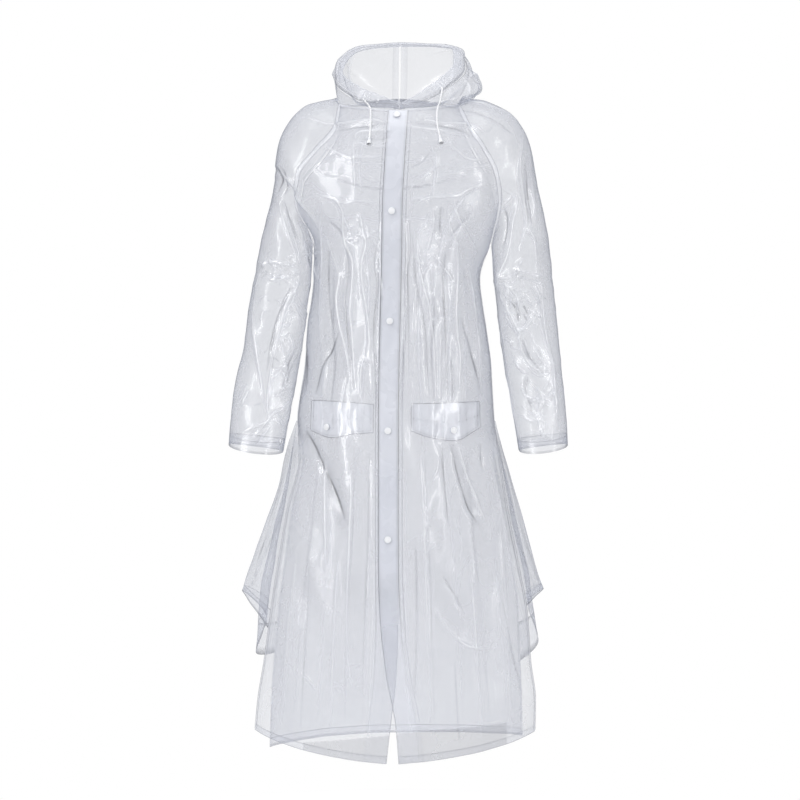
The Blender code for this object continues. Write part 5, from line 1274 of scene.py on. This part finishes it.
def gusset_grid(side, w, c):
    """The gusset over w, 0 at its top to 1 at its hem, and c, 0 to 1 from the front's edge to the back's."""
    shape = GUSSETS[side]
    last = -0.905
    hems = np.array(GUSSET_HEMS[side])
    share = np.clip(w / 0.82, 0, 1)[:, None]
    level = GUSSET_TOP + (last - GUSSET_TOP) * share
    heights = level + (hems[None] - last) * np.clip((w - 0.82) / 0.18, 0, 1)[:, None]
    points = np.stack([
        at_height(EDGES[side, "front"], heights[:, 0]),
        np.stack([read(shape, "x1", heights[:, 1]), read(shape, "y1", heights[:, 1]), heights[:, 1]], -1),
        np.stack([read(shape, "xm", heights[:, 2]), read(shape, "ym", heights[:, 2]), heights[:, 2]], -1),
        np.stack([read(shape, "x2", heights[:, 3]), read(shape, "y2", heights[:, 3]), heights[:, 3]], -1),
        at_height(EDGES[side, "back"], heights[:, 4]),
    ], 1)
    points[:, 0] += unit(points[:, 1] - points[:, 0]) * SEAM
    points[:, 4] += unit(points[:, 3] - points[:, 4]) * SEAM
    c = np.asarray(c)
    k = np.minimum((c * 4).astype(int), 3)
    t = (c * 4 - k)[None, :, None]
    a, b = points[:, k], points[:, k + 1]
    before, after = points[:, np.maximum(k - 1, 0)], points[:, np.minimum(k + 2, 4)]
    da, db = (b - before) * 0.42, (after - a) * 0.42
    return a * (1 + 2 * t) * (1 - t) ** 2 + da * t * (1 - t) ** 2 + b * t * t * (3 - 2 * t) - db * t * t * (1 - t)


def with_normals(grid, outward):
    """Unit normals of a grid by its own neighbours, turned out."""
    n = unit(np.cross(np.gradient(grid, axis=0), np.gradient(grid, axis=1)))
    return -n if (n * outward(grid)).sum(-1).mean() < 0 else n


GUSSET_CREASES = {
    "r": ((4, 3.2, (38, 20), (42, 150), (46, 320)), (-3.4, 4, (58, 60), (64, 200), (66, 330)), (3, 3, (82, 100), (90, 240), (98, 330)), (-3, 3.4, (108, 140), (120, 330)), (2.6, 2.6, (20, 190), (30, 320)), (2.4, 3, (46, 240), (70, 300))),
    "l": ((4, 3.2, (34, 20), (40, 160), (42, 330)), (-3.4, 4, (54, 60), (60, 200), (68, 330)), (3, 3, (78, 90), (88, 230), (94, 330)), (-3, 3.4, (104, 150), (112, 330)), (2.6, 2.6, (22, 170), (26, 310)), (2.4, 3, (44, 260), (66, 310))),
}
for side, word in (("r", "right"), ("l", "left")):
    w, c = np.linspace(0, 1, 118), np.linspace(0, 1, 74)
    plain = gusset_grid(side, w, c)
    normal = with_normals(plain, from_axis)
    width = np.linalg.norm(np.diff(plain, axis=1), axis=-1)
    across = np.concatenate([np.zeros((len(w), 1)), np.cumsum(width, 1)], 1)
    down = np.broadcast_to((w * 0.34)[:, None], across.shape)
    height, line = crease_field(GUSSET_CREASES[side] + scatter(40 + (side == "l"), 3, (10, 60), (130, 330), (30, 80), (0.6, 1.2), (2.6, 4.0), 90, 14), across, down, 0.6)
    share = across / across[:, -1:]
    calm = smooth(0, 0.07, share) * (1 - smooth(0.93, 1, share)) * smooth(0.03, 0.3, w)[:, None]
    grid = plain + normal * ((height + 0.0009 * swell(43, across, down, 0.05, 0.2)) * calm)[..., None]
    panel("gusset_panel_" + word, "gusset_" + word, grid, edge_line(line * calm, ["bottom"], -0.6), FILM["gusset"], from_axis, plain)
    # the hem, folded in and pressed
    lengths = np.concatenate([[0], np.cumsum(np.linalg.norm(np.diff(grid[:, 20], axis=0), axis=1))])
    rows = np.flatnonzero(lengths > lengths[-1] - 0.0135)
    band = grid[rows] - with_normals(grid, from_axis)[rows] * 0.0008
    band_line = line[rows] * 0.4
    band_line[0] = -1.0
    band_line[-1] = -1.0
    trim("gusset_hem_" + word, "gusset_panel_" + word, band, band_line, FILM["hem"], from_axis)


# ------------------------------------------------------------------ hems, facings, placket and seam tapes
def band(name, owner, skin, v_end, row_length, s, depth, off, mat, outward, rise_to=1.0):
    """A hem turned in at a panel's end: skin(v, s, off), with s along it."""
    d = np.array([0.0, 0.0008, 0.0030, 0.0055, 0.0080, 0.0105, 0.0130, 0.0155, 0.0180, 0.0205, 0.0230])
    d = np.concatenate([d[d < depth - 0.003], [depth - 0.0018, depth - 0.0009, depth]])
    v = v_end - d[:, None] / row_length
    grid, line = skin(v, np.broadcast_to(s[None], (len(d), len(s))), off)
    line = line * 0.4
    line[0] = -1.0
    line[-3:] = np.array([-0.35, -1.0, -1.0])[:, None]
    return trim(name, owner, grid, line, mat, outward)


for side, word in (("r", "right"), ("l", "left")):
    v, start, end = FRONT_ROWS[side]
    s = np.linspace(start[-1], end[-1], 150)
    band("front_hem_" + word, "front_panel_" + word, lambda a, b, off, side=side: front_skin(side, a, b, off), 16.0, 0.078, s, FRONT_HEM, -0.0008, FILM["hem"], from_axis)
    # facing turned in along the free edge
    rows = v[::2]
    lap = read(FRONT, "lap", rows)
    wide = 0.0425 if side == "r" else 0.0462
    a = np.concatenate([[0.0002, 0.0010], np.linspace(0.004, wide - 0.003, 12), [wide - 0.0009, wide]])
    s = centre_s(side, rows[:, None], lap[:, None] - a[None])
    grid, line = front_skin(side, rows[:, None], s, -0.0008)
    line = edge_line(line * 0.3, ["right"], -0.9) * (1 - 0.5 * smooth(12.4, 14.4, rows))[:, None]
    trim("front_facing_" + word, "front_panel_" + word, grid, line, FILM["facing"], from_axis)
    # the side seam's tape and the pressed edge over the gusset
    rows = np.linspace(5.05, 9.0, 170)
    length = np.linalg.norm(front_point(side, rows, 1 + 0 * rows) - front_point(side, rows, 0.95 + 0 * rows), axis=-1) / 0.05
    a = np.array([0.0055, 0.0048, 0.0025, 0.0008])
    ahead, line_a = front_skin(side, rows[:, None], 1 - a[None] / length[:, None], 0.0009)
    length = np.linalg.norm(back_point(side, rows, 1 + 0 * rows) - back_point(side, rows, 0.95 + 0 * rows), axis=-1) / 0.05
    behind, line_b = back_skin(side, rows[:, None], 1 - a[None, ::-1] / length[:, None], 0.0009)
    grid, line = np.concatenate([ahead, behind], 1), np.concatenate([line_a, line_b], 1)
    trim("side_tape_" + word, "front_panel_" + word, grid, edge_line(line * 0, ["left", "right"], -0.8), FILM["tape"], from_axis)
    for kind, owner, surface, skin, low in (("front", "front_panel_" + word, front_point, front_skin, 15.95), ("back", "back_panel", back_point, back_skin, 15.95)):
        rows = np.linspace(9.0, low, 230)
        length = np.linalg.norm(surface(side, rows, 1 + 0 * rows) - surface(side, rows, 0.95 + 0 * rows), axis=-1) / 0.05
        a = np.array([0.0072, 0.0064, 0.0035, 0.0015, 0.0003])
        grid, line = skin(side, rows[:, None], 1 - a[None] / length[:, None], 0.0008)
        trim(f"{kind}_edge_{word}", owner, grid, edge_line(line * 0, ["left", "right"], -0.9), FILM["tape" if kind == "front" else "tape_rear"], from_axis)
    # raglan seams, in front and behind
    for kind, owner, surface, skin, sign in (("front", "front_panel_" + word, front_point, front_skin, -1.0), ("back", "back_panel", back_point, back_skin, 1.0)):
        rows = np.linspace(0.03, 4.97, 150)
        length = np.linalg.norm(surface(side, rows, 1 + 0 * rows) - surface(side, rows, 0.95 + 0 * rows), axis=-1) / 0.05
        a = np.array([TAPE, TAPE - 0.0008, 0.0028, 0.0010])
        body, line_a = skin(side, rows[:, None], 1 - a[None] / length[:, None], 0.0009)
        length = np.linalg.norm(sleeve_point(side, rows, sign + 0 * rows) - sleeve_point(side, rows, 0.96 * sign + 0 * rows), axis=-1) / 0.04
        arm, line_b = sleeve_skin(side, rows[:, None], sign * (1 - a[None, ::-1] / length[:, None]), 0.0009)
        grid, line = np.concatenate([body, arm], 1), np.concatenate([line_a, line_b], 1)
        trim(f"raglan_tape_{kind}_{word}", owner, grid, edge_line(line * 0.3, ["left", "right"], -0.8), FILM["tape" if kind == "front" else "tape_rear"], from_axis)
    # cuff hem, and the arm's seam
    u = np.linspace(-1, 1, 150)
    outward = lambda p, side=side: np.stack([p[..., 0] - SIDES[side] * 0.21, p[..., 1], 0.02 + 0 * p[..., 0]], -1)
    band("cuff_hem_" + word, "sleeve_panel_" + word, lambda a, b, off, side=side: sleeve_skin(side, a, b, off), 11.0, 0.066, u, CUFF_HEM, -0.0008, FILM["hem"], outward)
    rows = np.linspace(5.1, 10.98, 190)
    length = np.linalg.norm(sleeve_point(side, rows, -1 + 0 * rows) - sleeve_point(side, rows, -0.96 + 0 * rows), axis=-1) / 0.04
    a = np.array([0.0050, 0.0043, 0.0015])
    ahead, _ = sleeve_skin(side, rows[:, None], -1 + a[None] / length[:, None], 0.0009)
    behind, _ = sleeve_skin(side, rows[:, None], 1 - a[None, ::-1] / length[:, None], 0.0009)
    grid = np.concatenate([ahead, behind], 1)
    trim("arm_tape_" + word, "sleeve_panel_" + word, grid, edge_line(np.zeros(grid.shape[:2]), ["left", "right"], -0.8), FILM["tape"], outward)

s = np.linspace(-0.995, 0.995, 260)
d = np.array([0.0, 0.0008, 0.0035, 0.0065, 0.0095, 0.0125, 0.0147, 0.0156, 0.0165])
parts = [back_skin("r" if sign < 0 else "l", 16 - d[:, None] / 0.102, np.abs(x)[None] * np.ones((len(d), 1)), -0.0008) for sign, x in ((-1, s[s < 0]), (1, s[s >= 0]))]
grid, line = np.concatenate([parts[0][0], parts[1][0]], 1), np.concatenate([parts[0][1], parts[1][1]], 1) * 0.4
line[0], line[-2:] = -1.0, -1.0
trim("back_hem", "back_panel", grid, line, FILM["hem"], from_axis)

# placket strip, on the left front along its edge
v, start, end = FRONT_ROWS["l"]
v = np.concatenate([[0.06], v[(v > 0.08) & (v < 15.93)], [15.94]])
lap = read(FRONT, "lap", v)
a = np.concatenate([[0.0006, 0.0014, 0.0030, 0.0038, 0.0046], np.linspace(0.0075, STRIP_WIDTH - 0.0075, 9), STRIP_WIDTH - np.array([0.0046, 0.0038, 0.0030, 0.0008, 0.0])])
s = centre_s("l", v[:, None], lap[:, None] - a[None])
grid, line = front_skin("l", v[:, None], s, LAYER)
plain = front_point("l", np.broadcast_to(v[:, None], s.shape), s)
fade = 1 - 0.6 * smooth(12.4, 14.4, v)
line[:, 0] = line[:, 1] = line[:, -1] = line[:, -2] = -1.0 * fade
line[:, 3] = line[:, -4] = -0.6 * fade
panel("placket_strip", "placket", grid, line, FILM["placket"], from_axis, plain)

# ------------------------------------------------------------------ pocket flaps
FLAP_CREASES = {"r": ((3.2, 3, (-146, -560), (-140, -600), (-143, -645)), (-2.6, 3, (-121, -560), (-119, -640)), (2.8, 2.6, (-111, -562), (-107, -642)), (2.6, 3, (-84, -560), (-88, -600), (-82, -640)), (2.6, 2.6, (-76, -562), (-72, -636)), (-2.4, 3, (-60, -562), (-62, -636))),
                "l": ((-2.8, 3, (80, -562), (78, -644)), (2.8, 3, (92, -562), (96, -650)), (3.0, 3, (127, -562), (124, -600), (128, -646)), (-2.6, 3, (139, -562), (142, -640)), (2.6, 2.6, (158, -562), (154, -630)), (2.4, 3, (46, -562), (48, -634)))}
for side, word in (("r", "right"), ("l", "left")):
    edges = FLAPS[side]
    x = columns_with_edges(float(edges["x"][0]), float(edges["x"][-1]), 112, 0.0009)
    t = np.concatenate([[0, 0.012], np.linspace(0.03, 0.97, 58), [0.986, 1]])
    top, low = read(edges, "top", x), read(edges, "low", x)
    z = top[:, None] + (low - top)[:, None] * t[None]
    xx = np.broadcast_to(x[:, None], z.shape)
    v, s = front_place(side, xx, z)
    scale = 3.4 / 3.25
    extra, extra_line = crease_field(FLAP_CREASES[side], xx * scale, (z + 0.5655) * scale - 0.5655)
    ripple = 0.0005 * swell(51 + (side == "l"), xx, z, 0.022, 0.06) * t[None]
    off = FLAP_LIFT + 0.0016 * t[None] + np.clip(extra, -0.0008, 0.003) * smooth(0.05, 0.4, t)[None] * 0.6 + ripple
    grid, line = front_skin(side, v, s, off)
    from_edge = np.minimum(np.minimum(xx - x[0], x[-1] - xx), z - low[:, None])
    line = line * 0.5 + extra_line * 0.7 - 0.8 * np.exp(-(((from_edge - 0.0048) / 0.0009) ** 2))
    middle = (top[:, None] + low[:, None]) / 2 - 0.001
    line = line - 0.55 * np.exp(-(((z - middle) / 0.0009) ** 2)) * (1.0 if side == "l" else 0.55)
    line = edge_line(line, ["left", "right", "top", "bottom"], -1.0)
    plain = front_point(side, v, s)
    panel("flap_panel_" + word, "flap_" + word, grid, line, FILM["flap"], from_axis, plain)

# ------------------------------------------------------------------ hood
HOOD_OUT = lambda p: np.stack([p[..., 0] - 0.01, p[..., 1], 0.3 * (p[..., 2] - 0.05)], -1)


def hood_grid(side, q, ts, off=0.0):
    """The hood over q, along the neck, and ts, 0 at the neck to 1 at its casing."""
    end = hood_at(side, q, casing_width(q) + 0.0022)[1]
    p = hood_curve(side, q)
    plain = bezier([c[:, None] for c in p], ts[None] * end[:, None])
    normal = with_normals(plain, HOOD_OUT)
    along = np.broadcast_to((q * 0.115)[:, None], plain.shape[:2])
    step = np.linalg.norm(np.diff(plain, axis=1), axis=-1)
    up = np.concatenate([np.zeros((len(q), 1)), np.cumsum(step, 1)], 1)
    left = up[:, -1:] - up
    height, line = crease_field(HOOD_CREASES[side], along, up)
    rng = np.random.default_rng(61 + (side == "l"))
    phase = along * 2 * math.pi / 0.0125 + 1.6 * np.sin(along * 55 + rng.uniform(0, 6)) + 1.1 * np.sin(along * 131)
    pleat = np.abs(np.sin(phase / 2)) - 0.6
    exit_q = PATH[1][EXITS[side]]
    near_exit = 0.5 + (2.6 if side == "r" else 1.0) * np.exp(-(((along - exit_q * 0.115) / 0.03) ** 2))
    pucker = -0.0008 * pleat * np.exp(-left / 0.022) * near_exit * smooth(0.0, 0.004, left)
    # painted highlight and shade on the puckers by the casing: the raised pleats are painted lighter, the sunken ones
    # darker
    line = line + 0.12 * np.clip(-pleat * 2, -0.3, 1) * np.exp(-left / 0.014) * near_exit
    calm = smooth(0.0, 0.010, up) * (1 - smooth(2.955, 2.993, q))[:, None]
    total = height * calm * (1 - 0.6 * np.exp(-left / 0.006)) + pucker * (1 - smooth(2.93, 2.99, q))[:, None] + 0.0018 * swell(63, along, up, 0.07, 0.08) * calm
    room = np.minimum(up[:, -1:], 0.05) / 0.05
    return plain + normal * (off + total * room)[..., None], line * room, plain, normal


HOOD_CREASES = {
    "r": ((4, 4, (20, 4), (40, 20), (62, 44)), (-4, 5, (70, 6), (78, 40), (84, 70)), (4.5, 4.5, (104, 8), (112, 50), (120, 96)), (-4, 6, (140, 10), (150, 60), (160, 110)), (5, 5, (180, 10), (190, 70), (196, 130)), (4, 5, (230, 16), (236, 90), (240, 160)),
          (-5, 7, (262, 20), (268, 100), (272, 180)), (4.5, 5, (296, 30), (300, 100), (304, 170)), (4, 6, (120, 60), (180, 66), (240, 62), (300, 70)), (-3.4, 6, (180, 120), (240, 124), (310, 118)), (3.4, 4, (200, 180), (260, 172), (320, 180)), (3, 3, (90, 30), (110, 38), (132, 32))),
    "l": ((4, 4, (24, 4), (42, 22), (60, 48)), (-4, 5, (66, 6), (76, 36), (80, 66)), (4.5, 4.5, (98, 8), (110, 46), (124, 92)), (5, 4, (130, 30), (150, 50), (172, 56)), (-4, 6, (150, 10), (158, 60), (166, 100)), (5, 5, (186, 12), (192, 70), (200, 130)),
          (4, 5, (226, 16), (232, 90), (236, 160)), (-5, 7, (256, 20), (262, 100), (270, 180)), (4.5, 5, (292, 30), (298, 100), (302, 170)), (4, 6, (110, 66), (170, 74), (240, 66), (310, 72)), (-3.4, 6, (190, 116), (250, 128), (320, 118)), (3.4, 4, (190, 176), (250, 184), (322, 176))),
}
for side in "rl":
    HOOD_CREASES[side] += scatter(70 + (side == "l"), 9, (10, 6), (330, 150), (24, 70), (0.9, 1.8), (2.6, 4.6), 80, 70)
for side, word in (("r", "right"), ("l", "left")):
    q = np.concatenate([np.linspace(TURN[side]["q"][0], 1, 90)[:-1], np.linspace(1, 2, 70)[:-1], np.linspace(2, 2.994, 90)])
    ts = np.linspace(0, 1, 76)
    grid, line, plain, _ = hood_grid(side, q, ts)
    line = edge_line(line.copy(), ["right"], -0.7)
    panel("hood_panel_" + word, "hood_" + word, grid, line, FILM["hood"], HOOD_OUT, plain)
    # a tape over the neck seam
    qs = np.linspace(max(TURN[side]["q"][0], 0.0) + 0.01, 2.99, 300)
    rows = []
    for d in (0.0052, 0.0044, 0.0022, 0.0004):
        f, _ = front_skin(side, d / 0.041 + 0 * qs, np.minimum(qs, 1.0), 0.0009 + (LAYER if side == "l" else 0.0) * 0)
        b, _ = back_skin(side, d / 0.0585 + 0 * qs, np.clip(3 - qs, 0, 1), 0.0009)
        m, _ = sleeve_skin(side, d / 0.0486 + 0 * qs, np.clip(2 * qs - 3, -1, 1), 0.0009)
        rows.append(np.where((qs < 1)[:, None], f, np.where((qs < 2)[:, None], m, b)))
    low_hood, _, _, _ = hood_grid(side, qs, np.array([0.0, 0.02, 0.04, 0.06]), 0.0009)
    rows += [low_hood[:, 0], low_hood[:, 1]]
    grid = np.stack(rows, 1)
    trim("neck_tape_" + word, "hood_panel_" + word, grid, edge_line(np.zeros(grid.shape[:2]), ["left", "right"], -0.7), FILM["tape"], lambda p: np.stack([p[..., 0] - 0.01, p[..., 1], 0.06 + 0 * p[..., 0]], -1))

# the seam over the middle of the hood
parts = []
for side, qs in (("r", np.array([2.950, 2.957, 2.978, 2.992])), ("l", np.array([2.992, 2.978, 2.957, 2.950]))):
    g, _, _, n = hood_grid(side, qs if side == "r" else qs[::-1], np.linspace(0, 0.995, 90), 0.0009)
    parts.append(g if side == "r" else g[::-1])
grid = np.concatenate(parts, 0)
trim("hood_tape", "hood_panel_right", grid, edge_line(np.zeros(grid.shape[:2]), ["top", "bottom"], -0.7), FILM["tape_rear"], HOOD_OUT)

# ------------------------------------------------------------------ hood casing, a flat tube open at both ends, with the puckers of its cord
sides_, q_, rim_, low_, middle_, along_, across_, out_ = PATH
ring = math.pi + np.linspace(0, 2 * math.pi, 41)  # from its lower edge, where it is pressed shut, round the rim and back
ca, sa = np.cos(ring), np.sin(ring)
wide, high = np.sign(ca) * np.abs(ca) ** 0.8, np.sign(sa) * np.abs(sa) ** 0.45
fine = np.linspace(0, run[-1], 560)
def on_path(values):
    return np.stack([np.interp(fine, run, values[:, k]) for k in range(values.shape[1])], 1)
mid, acr, out = on_path(middle_), unit(on_path(across_)), unit(on_path(out_))
half = np.interp(fine, run, casing_width(q_)) / 2 - 0.0003
exits = np.array([run[EXITS["r"]], run[EXITS["l"]]])
near = np.exp(-(((fine[:, None] - exits[None]) / 0.022) ** 2)).sum(1)
phase = fine * 2 * math.pi / 0.0115 + 1.5 * np.sin(fine * 37) + 0.9 * np.sin(fine * 91 + 1)
pleat = np.abs(np.sin(phase / 2))
swing = swell(81, fine, fine * 0, 0.05, 1.0)
tall = CASING_HALF * (0.74 + 0.07 * pleat + 0.10 * swing - 0.14 * near * (1 - pleat))
shift = 0.0007 * swell(82, fine, fine * 0, 0.028, 1.0)
grid = mid[:, None] + acr[:, None] * (wide[None, :, None] * half[:, None, None] + shift[:, None, None] * (wide[None, :, None] > 0)) + out[:, None] * (high[None, :, None] * tall[:, None, None])
# small ripples across the film over the cord
ripple = 0.00016 * np.sin(phase[:, None] + 1.2 * wide[None]) * (1 - np.abs(wide[None]) ** 3) * (1 + 4.0 * near[:, None])
grid = grid + out[:, None] * (ripple * np.sign(high[None]))[..., None]
from_low = (wide[None] + 1) * half[:, None]
line = -0.95 * np.exp(-(((from_low - 0.0022) / 0.0010) ** 2)) - 0.8 * np.exp(-(((from_low - 0.0066) / 0.0010) ** 2)) * (half[:, None] > 0.008)
# painted highlight: the tops of the pleats over the cord and the fold along the rim are painted lighter
line = line + 0.5 * np.clip(2 * pleat[:, None] - 1.2, 0, 1) * (1 - np.abs(wide[None])) * (0.08 + near[:, None]) + 0.5 * np.exp(-(((2 * half[:, None] - from_low) / 0.0012) ** 2))
name = "casing_band"
made = worn(shell(name, grid, line, FILM["casing"], lambda p: p - mid[np.argmin(np.linalg.norm(p[:, None, :] - mid[None, ::6], axis=-1), 1) * 6]), "clear_film", "hood_casing")
WITH[name] = []
CUT[name] = (0.052, round(float(run[-1]), 3), None)

# ------------------------------------------------------------------ snaps
R = SNAP / 2
CAP = rounded(((0.0002, 0.0019), (R * 0.16, 0.0019), (R * 0.26, 0.0023), (R * 0.46, 0.0022), (R * 0.56, 0.0016), (R * 0.66, 0.0016), (R * 0.76, 0.0021), (R * 0.90, 0.0019), (R, 0.0010), (R, 0.0001), (R * 0.9, 0.0), (0.0002, 0.0)))
SOCKET = rounded(((R * 0.34, 0.0), (R * 0.34, -0.0014), (R * 0.44, -0.0020), (R * 0.60, -0.0020), (R * 0.72, -0.0012), (R * 0.86, -0.0009), (R * 0.88, -0.0001), (R * 0.34, 0.0)))
LIFT = WALL / 2 + 0.0006


def joined(name, *objs):
    """Some objects of one piece in one mesh."""
    import bmesh

    bm = bmesh.new()
    for o in objs:
        bm.from_mesh(o.data)
    mesh = bpy.data.meshes.new(name)
    bm.to_mesh(mesh)
    bm.free()
    mat = objs[0].data.materials[0]
    for o in objs:
        data = o.data
        bpy.data.objects.remove(o)
        bpy.data.meshes.remove(data)
    made = place(name, mesh, mat)
    mesh.shade_smooth()
    return made


def snap(name, node, spot, normal, under):
    cap = turned("cap", CAP, PLASTIC, spot + normal * LIFT, normal)
    socket = turned("socket", SOCKET, PLASTIC, spot - normal * under, normal)
    worn(joined(name, cap, socket), "white_plastic", node)


table_z = np.linspace(0, 16, 4000)
for i, z in enumerate((-0.0300, -0.2130, -0.4180, -0.6235, -0.8245)):
    v = np.array([np.interp(-z, -read(FRONT, "z", table_z), table_z)])
    s = centre_s("l", v, np.zeros(1))
    spot = front_skin("l", v, s, LAYER)[0][0]
    normal = normals(lambda a, b: front_point("l", a, b), v, s, np.array([0, -1, 0.2]), (0, 16))[0]
    snap(f"snap_{i + 1}", f"snap_front_{i + 1}", spot, normal, 2 * LAYER + 0.0014)
for side, word, x, z in (("r", "right", -0.1251, -0.6165), ("l", "left", 0.1091, -0.6230)):
    v, s = front_place(side, np.array([x]), np.array([z]))
    spot = front_skin(side, v, s, FLAP_LIFT + 0.0014)[0][0]
    normal = normals(lambda a, b, side=side: front_point(side, a, b), v, s, np.array([0, -1, 0.2]), (0, 16))[0]
    snap("flap_snap_" + word, "snap_flap_" + word, spot, normal, FLAP_LIFT + 0.0020)

C = CUFF_SNAP / 2
RING = rounded(((C * 0.50, 0.0), (C * 0.50, 0.0006), (C * 0.56, 0.0013), (C * 0.75, 0.0016), (C * 0.92, 0.0013), (C, 0.0005), (C, 0.0), (C * 0.50, 0.0)))
v, u = np.array([10.60]), np.array([-0.84])
base = sleeve_point("r", v, u)
normal = normals(lambda a, b: sleeve_point("r", a, b), v, u, np.array([0.3, -1, 0]), (0, 11))[0]
spot = sleeve_skin("r", v, u)[0][0]
if ((spot - base[0]) * normal).sum() < 0:
    spot = base[0]
worn(turned("cuff_ring", RING, PLASTIC, spot + normal * (WALL / 2 + 0.0007), normal), "white_plastic", "snap_cuff_right")

# ------------------------------------------------------------------ what each sheet was cut to
for name, cut in CUT.items():
    print("cut", name, cut)
for name, (wide, down, area) in CUT.items():
    area = area if area is None else min(area, wide * down)


# ------------------------------------------------------------------ floor and light
bpy.context.scene.view_settings.view_transform = "Standard"
bpy.context.scene.view_settings.look = "None"
bpy.context.scene.cycles.transparent_max_bounces = 32
bpy.context.scene.cycles.max_bounces = 8

mesh = bpy.data.meshes.new("floor")
count = 96
mesh.from_pydata([(1.12 * math.cos(2 * math.pi * i / count), 1.12 * math.sin(2 * math.pi * i / count), -1.58) for i in range(count)], [], [list(range(count))])
n = Nodes("floor_paper")
cloud = n.noise(n.place(1.0), 1.2, 2.0)
body = n.add("ShaderNodeBsdfPrincipled", Base_Color=n.ramp(cloud, (0.3, (0.90, 0.90, 0.905)), (0.7, (0.93, 0.93, 0.935))))
body.inputs["Roughness"].default_value = 0.9
n.tree.links.new(body.outputs[0], n.out.inputs["Surface"])
floor = place("floor", mesh, n.material)

world = bpy.data.worlds.new("studio")
bpy.context.scene.world = world
world.use_nodes = True
tree = world.node_tree
tree.nodes.clear()
output = tree.nodes.new("ShaderNodeOutputWorld")
seen, lit, mix, ray = (tree.nodes.new(k) for k in ("ShaderNodeBackground", "ShaderNodeBackground", "ShaderNodeMixShader", "ShaderNodeLightPath"))
seen.inputs["Color"].default_value = (1, 1, 1, 1)
seen.inputs["Strength"].default_value = 1.0
lit.inputs["Color"].default_value = (0.97, 0.975, 1.0, 1)
compass, parts, level = (tree.nodes.new(k) for k in ("ShaderNodeTexCoord", "ShaderNodeSeparateXYZ", "ShaderNodeMapRange"))
level.interpolation_type = "SMOOTHSTEP"
for key, value in (("From Min", 0.05), ("From Max", 0.75), ("To Min", 0.20), ("To Max", 0.95)):  # a dim band all round and a bright ceiling
    level.inputs[key].default_value = value
tree.links.new(compass.outputs["Generated"], parts.inputs[0])
tree.links.new(parts.outputs["Z"], level.inputs["Value"])
tree.links.new(level.outputs[0], lit.inputs["Strength"])
tree.links.new(ray.outputs["Is Camera Ray"], mix.inputs[0])
tree.links.new(lit.outputs[0], mix.inputs[1])
tree.links.new(seen.outputs[0], mix.inputs[2])
tree.links.new(mix.outputs[0], output.inputs["Surface"])


def softbox(name, spot, aim, size, watts, shine=True):
    light = bpy.data.lights.new(name, "AREA")
    light.shape = "RECTANGLE"
    light.size, light.size_y = size
    light.energy = watts
    made = bpy.data.objects.new(name, light)
    bpy.context.scene.collection.objects.link(made)
    made.location = spot
    made.rotation_mode = "QUATERNION"
    made.rotation_quaternion = (Vector(aim) - Vector(spot)).to_track_quat("-Z", "Y")
    made.visible_camera = False
    made.visible_glossy = shine
    return made


softbox("key", (-1.9, -2.0, 0.3), (0, 0, -0.6), (0.7, 2.3), 44)
softbox("fill", (2.1, -1.8, 0.1), (0, 0, -0.6), (0.4, 2.2), 20)
softbox("top", (0.0, -0.9, 1.9), (0, 0, -0.5), (2.0, 1.2), 11)
softbox("rear_key", (-0.9, 2.6, 0.4), (0, 0, -0.6), (0.9, 2.0), 24, False)
softbox("rear_fill", (1.1, 2.6, 0.1), (0, 0, -0.6), (0.7, 2.0), 12, False)
softbox("rim_right", (-1.8, 1.6, 0.1), (0, 0, -0.6), (0.3, 2.1), 7, False)
softbox("rim_left", (1.8, 1.6, 0.1), (0, 0, -0.6), (0.3, 2.1), 6, False)
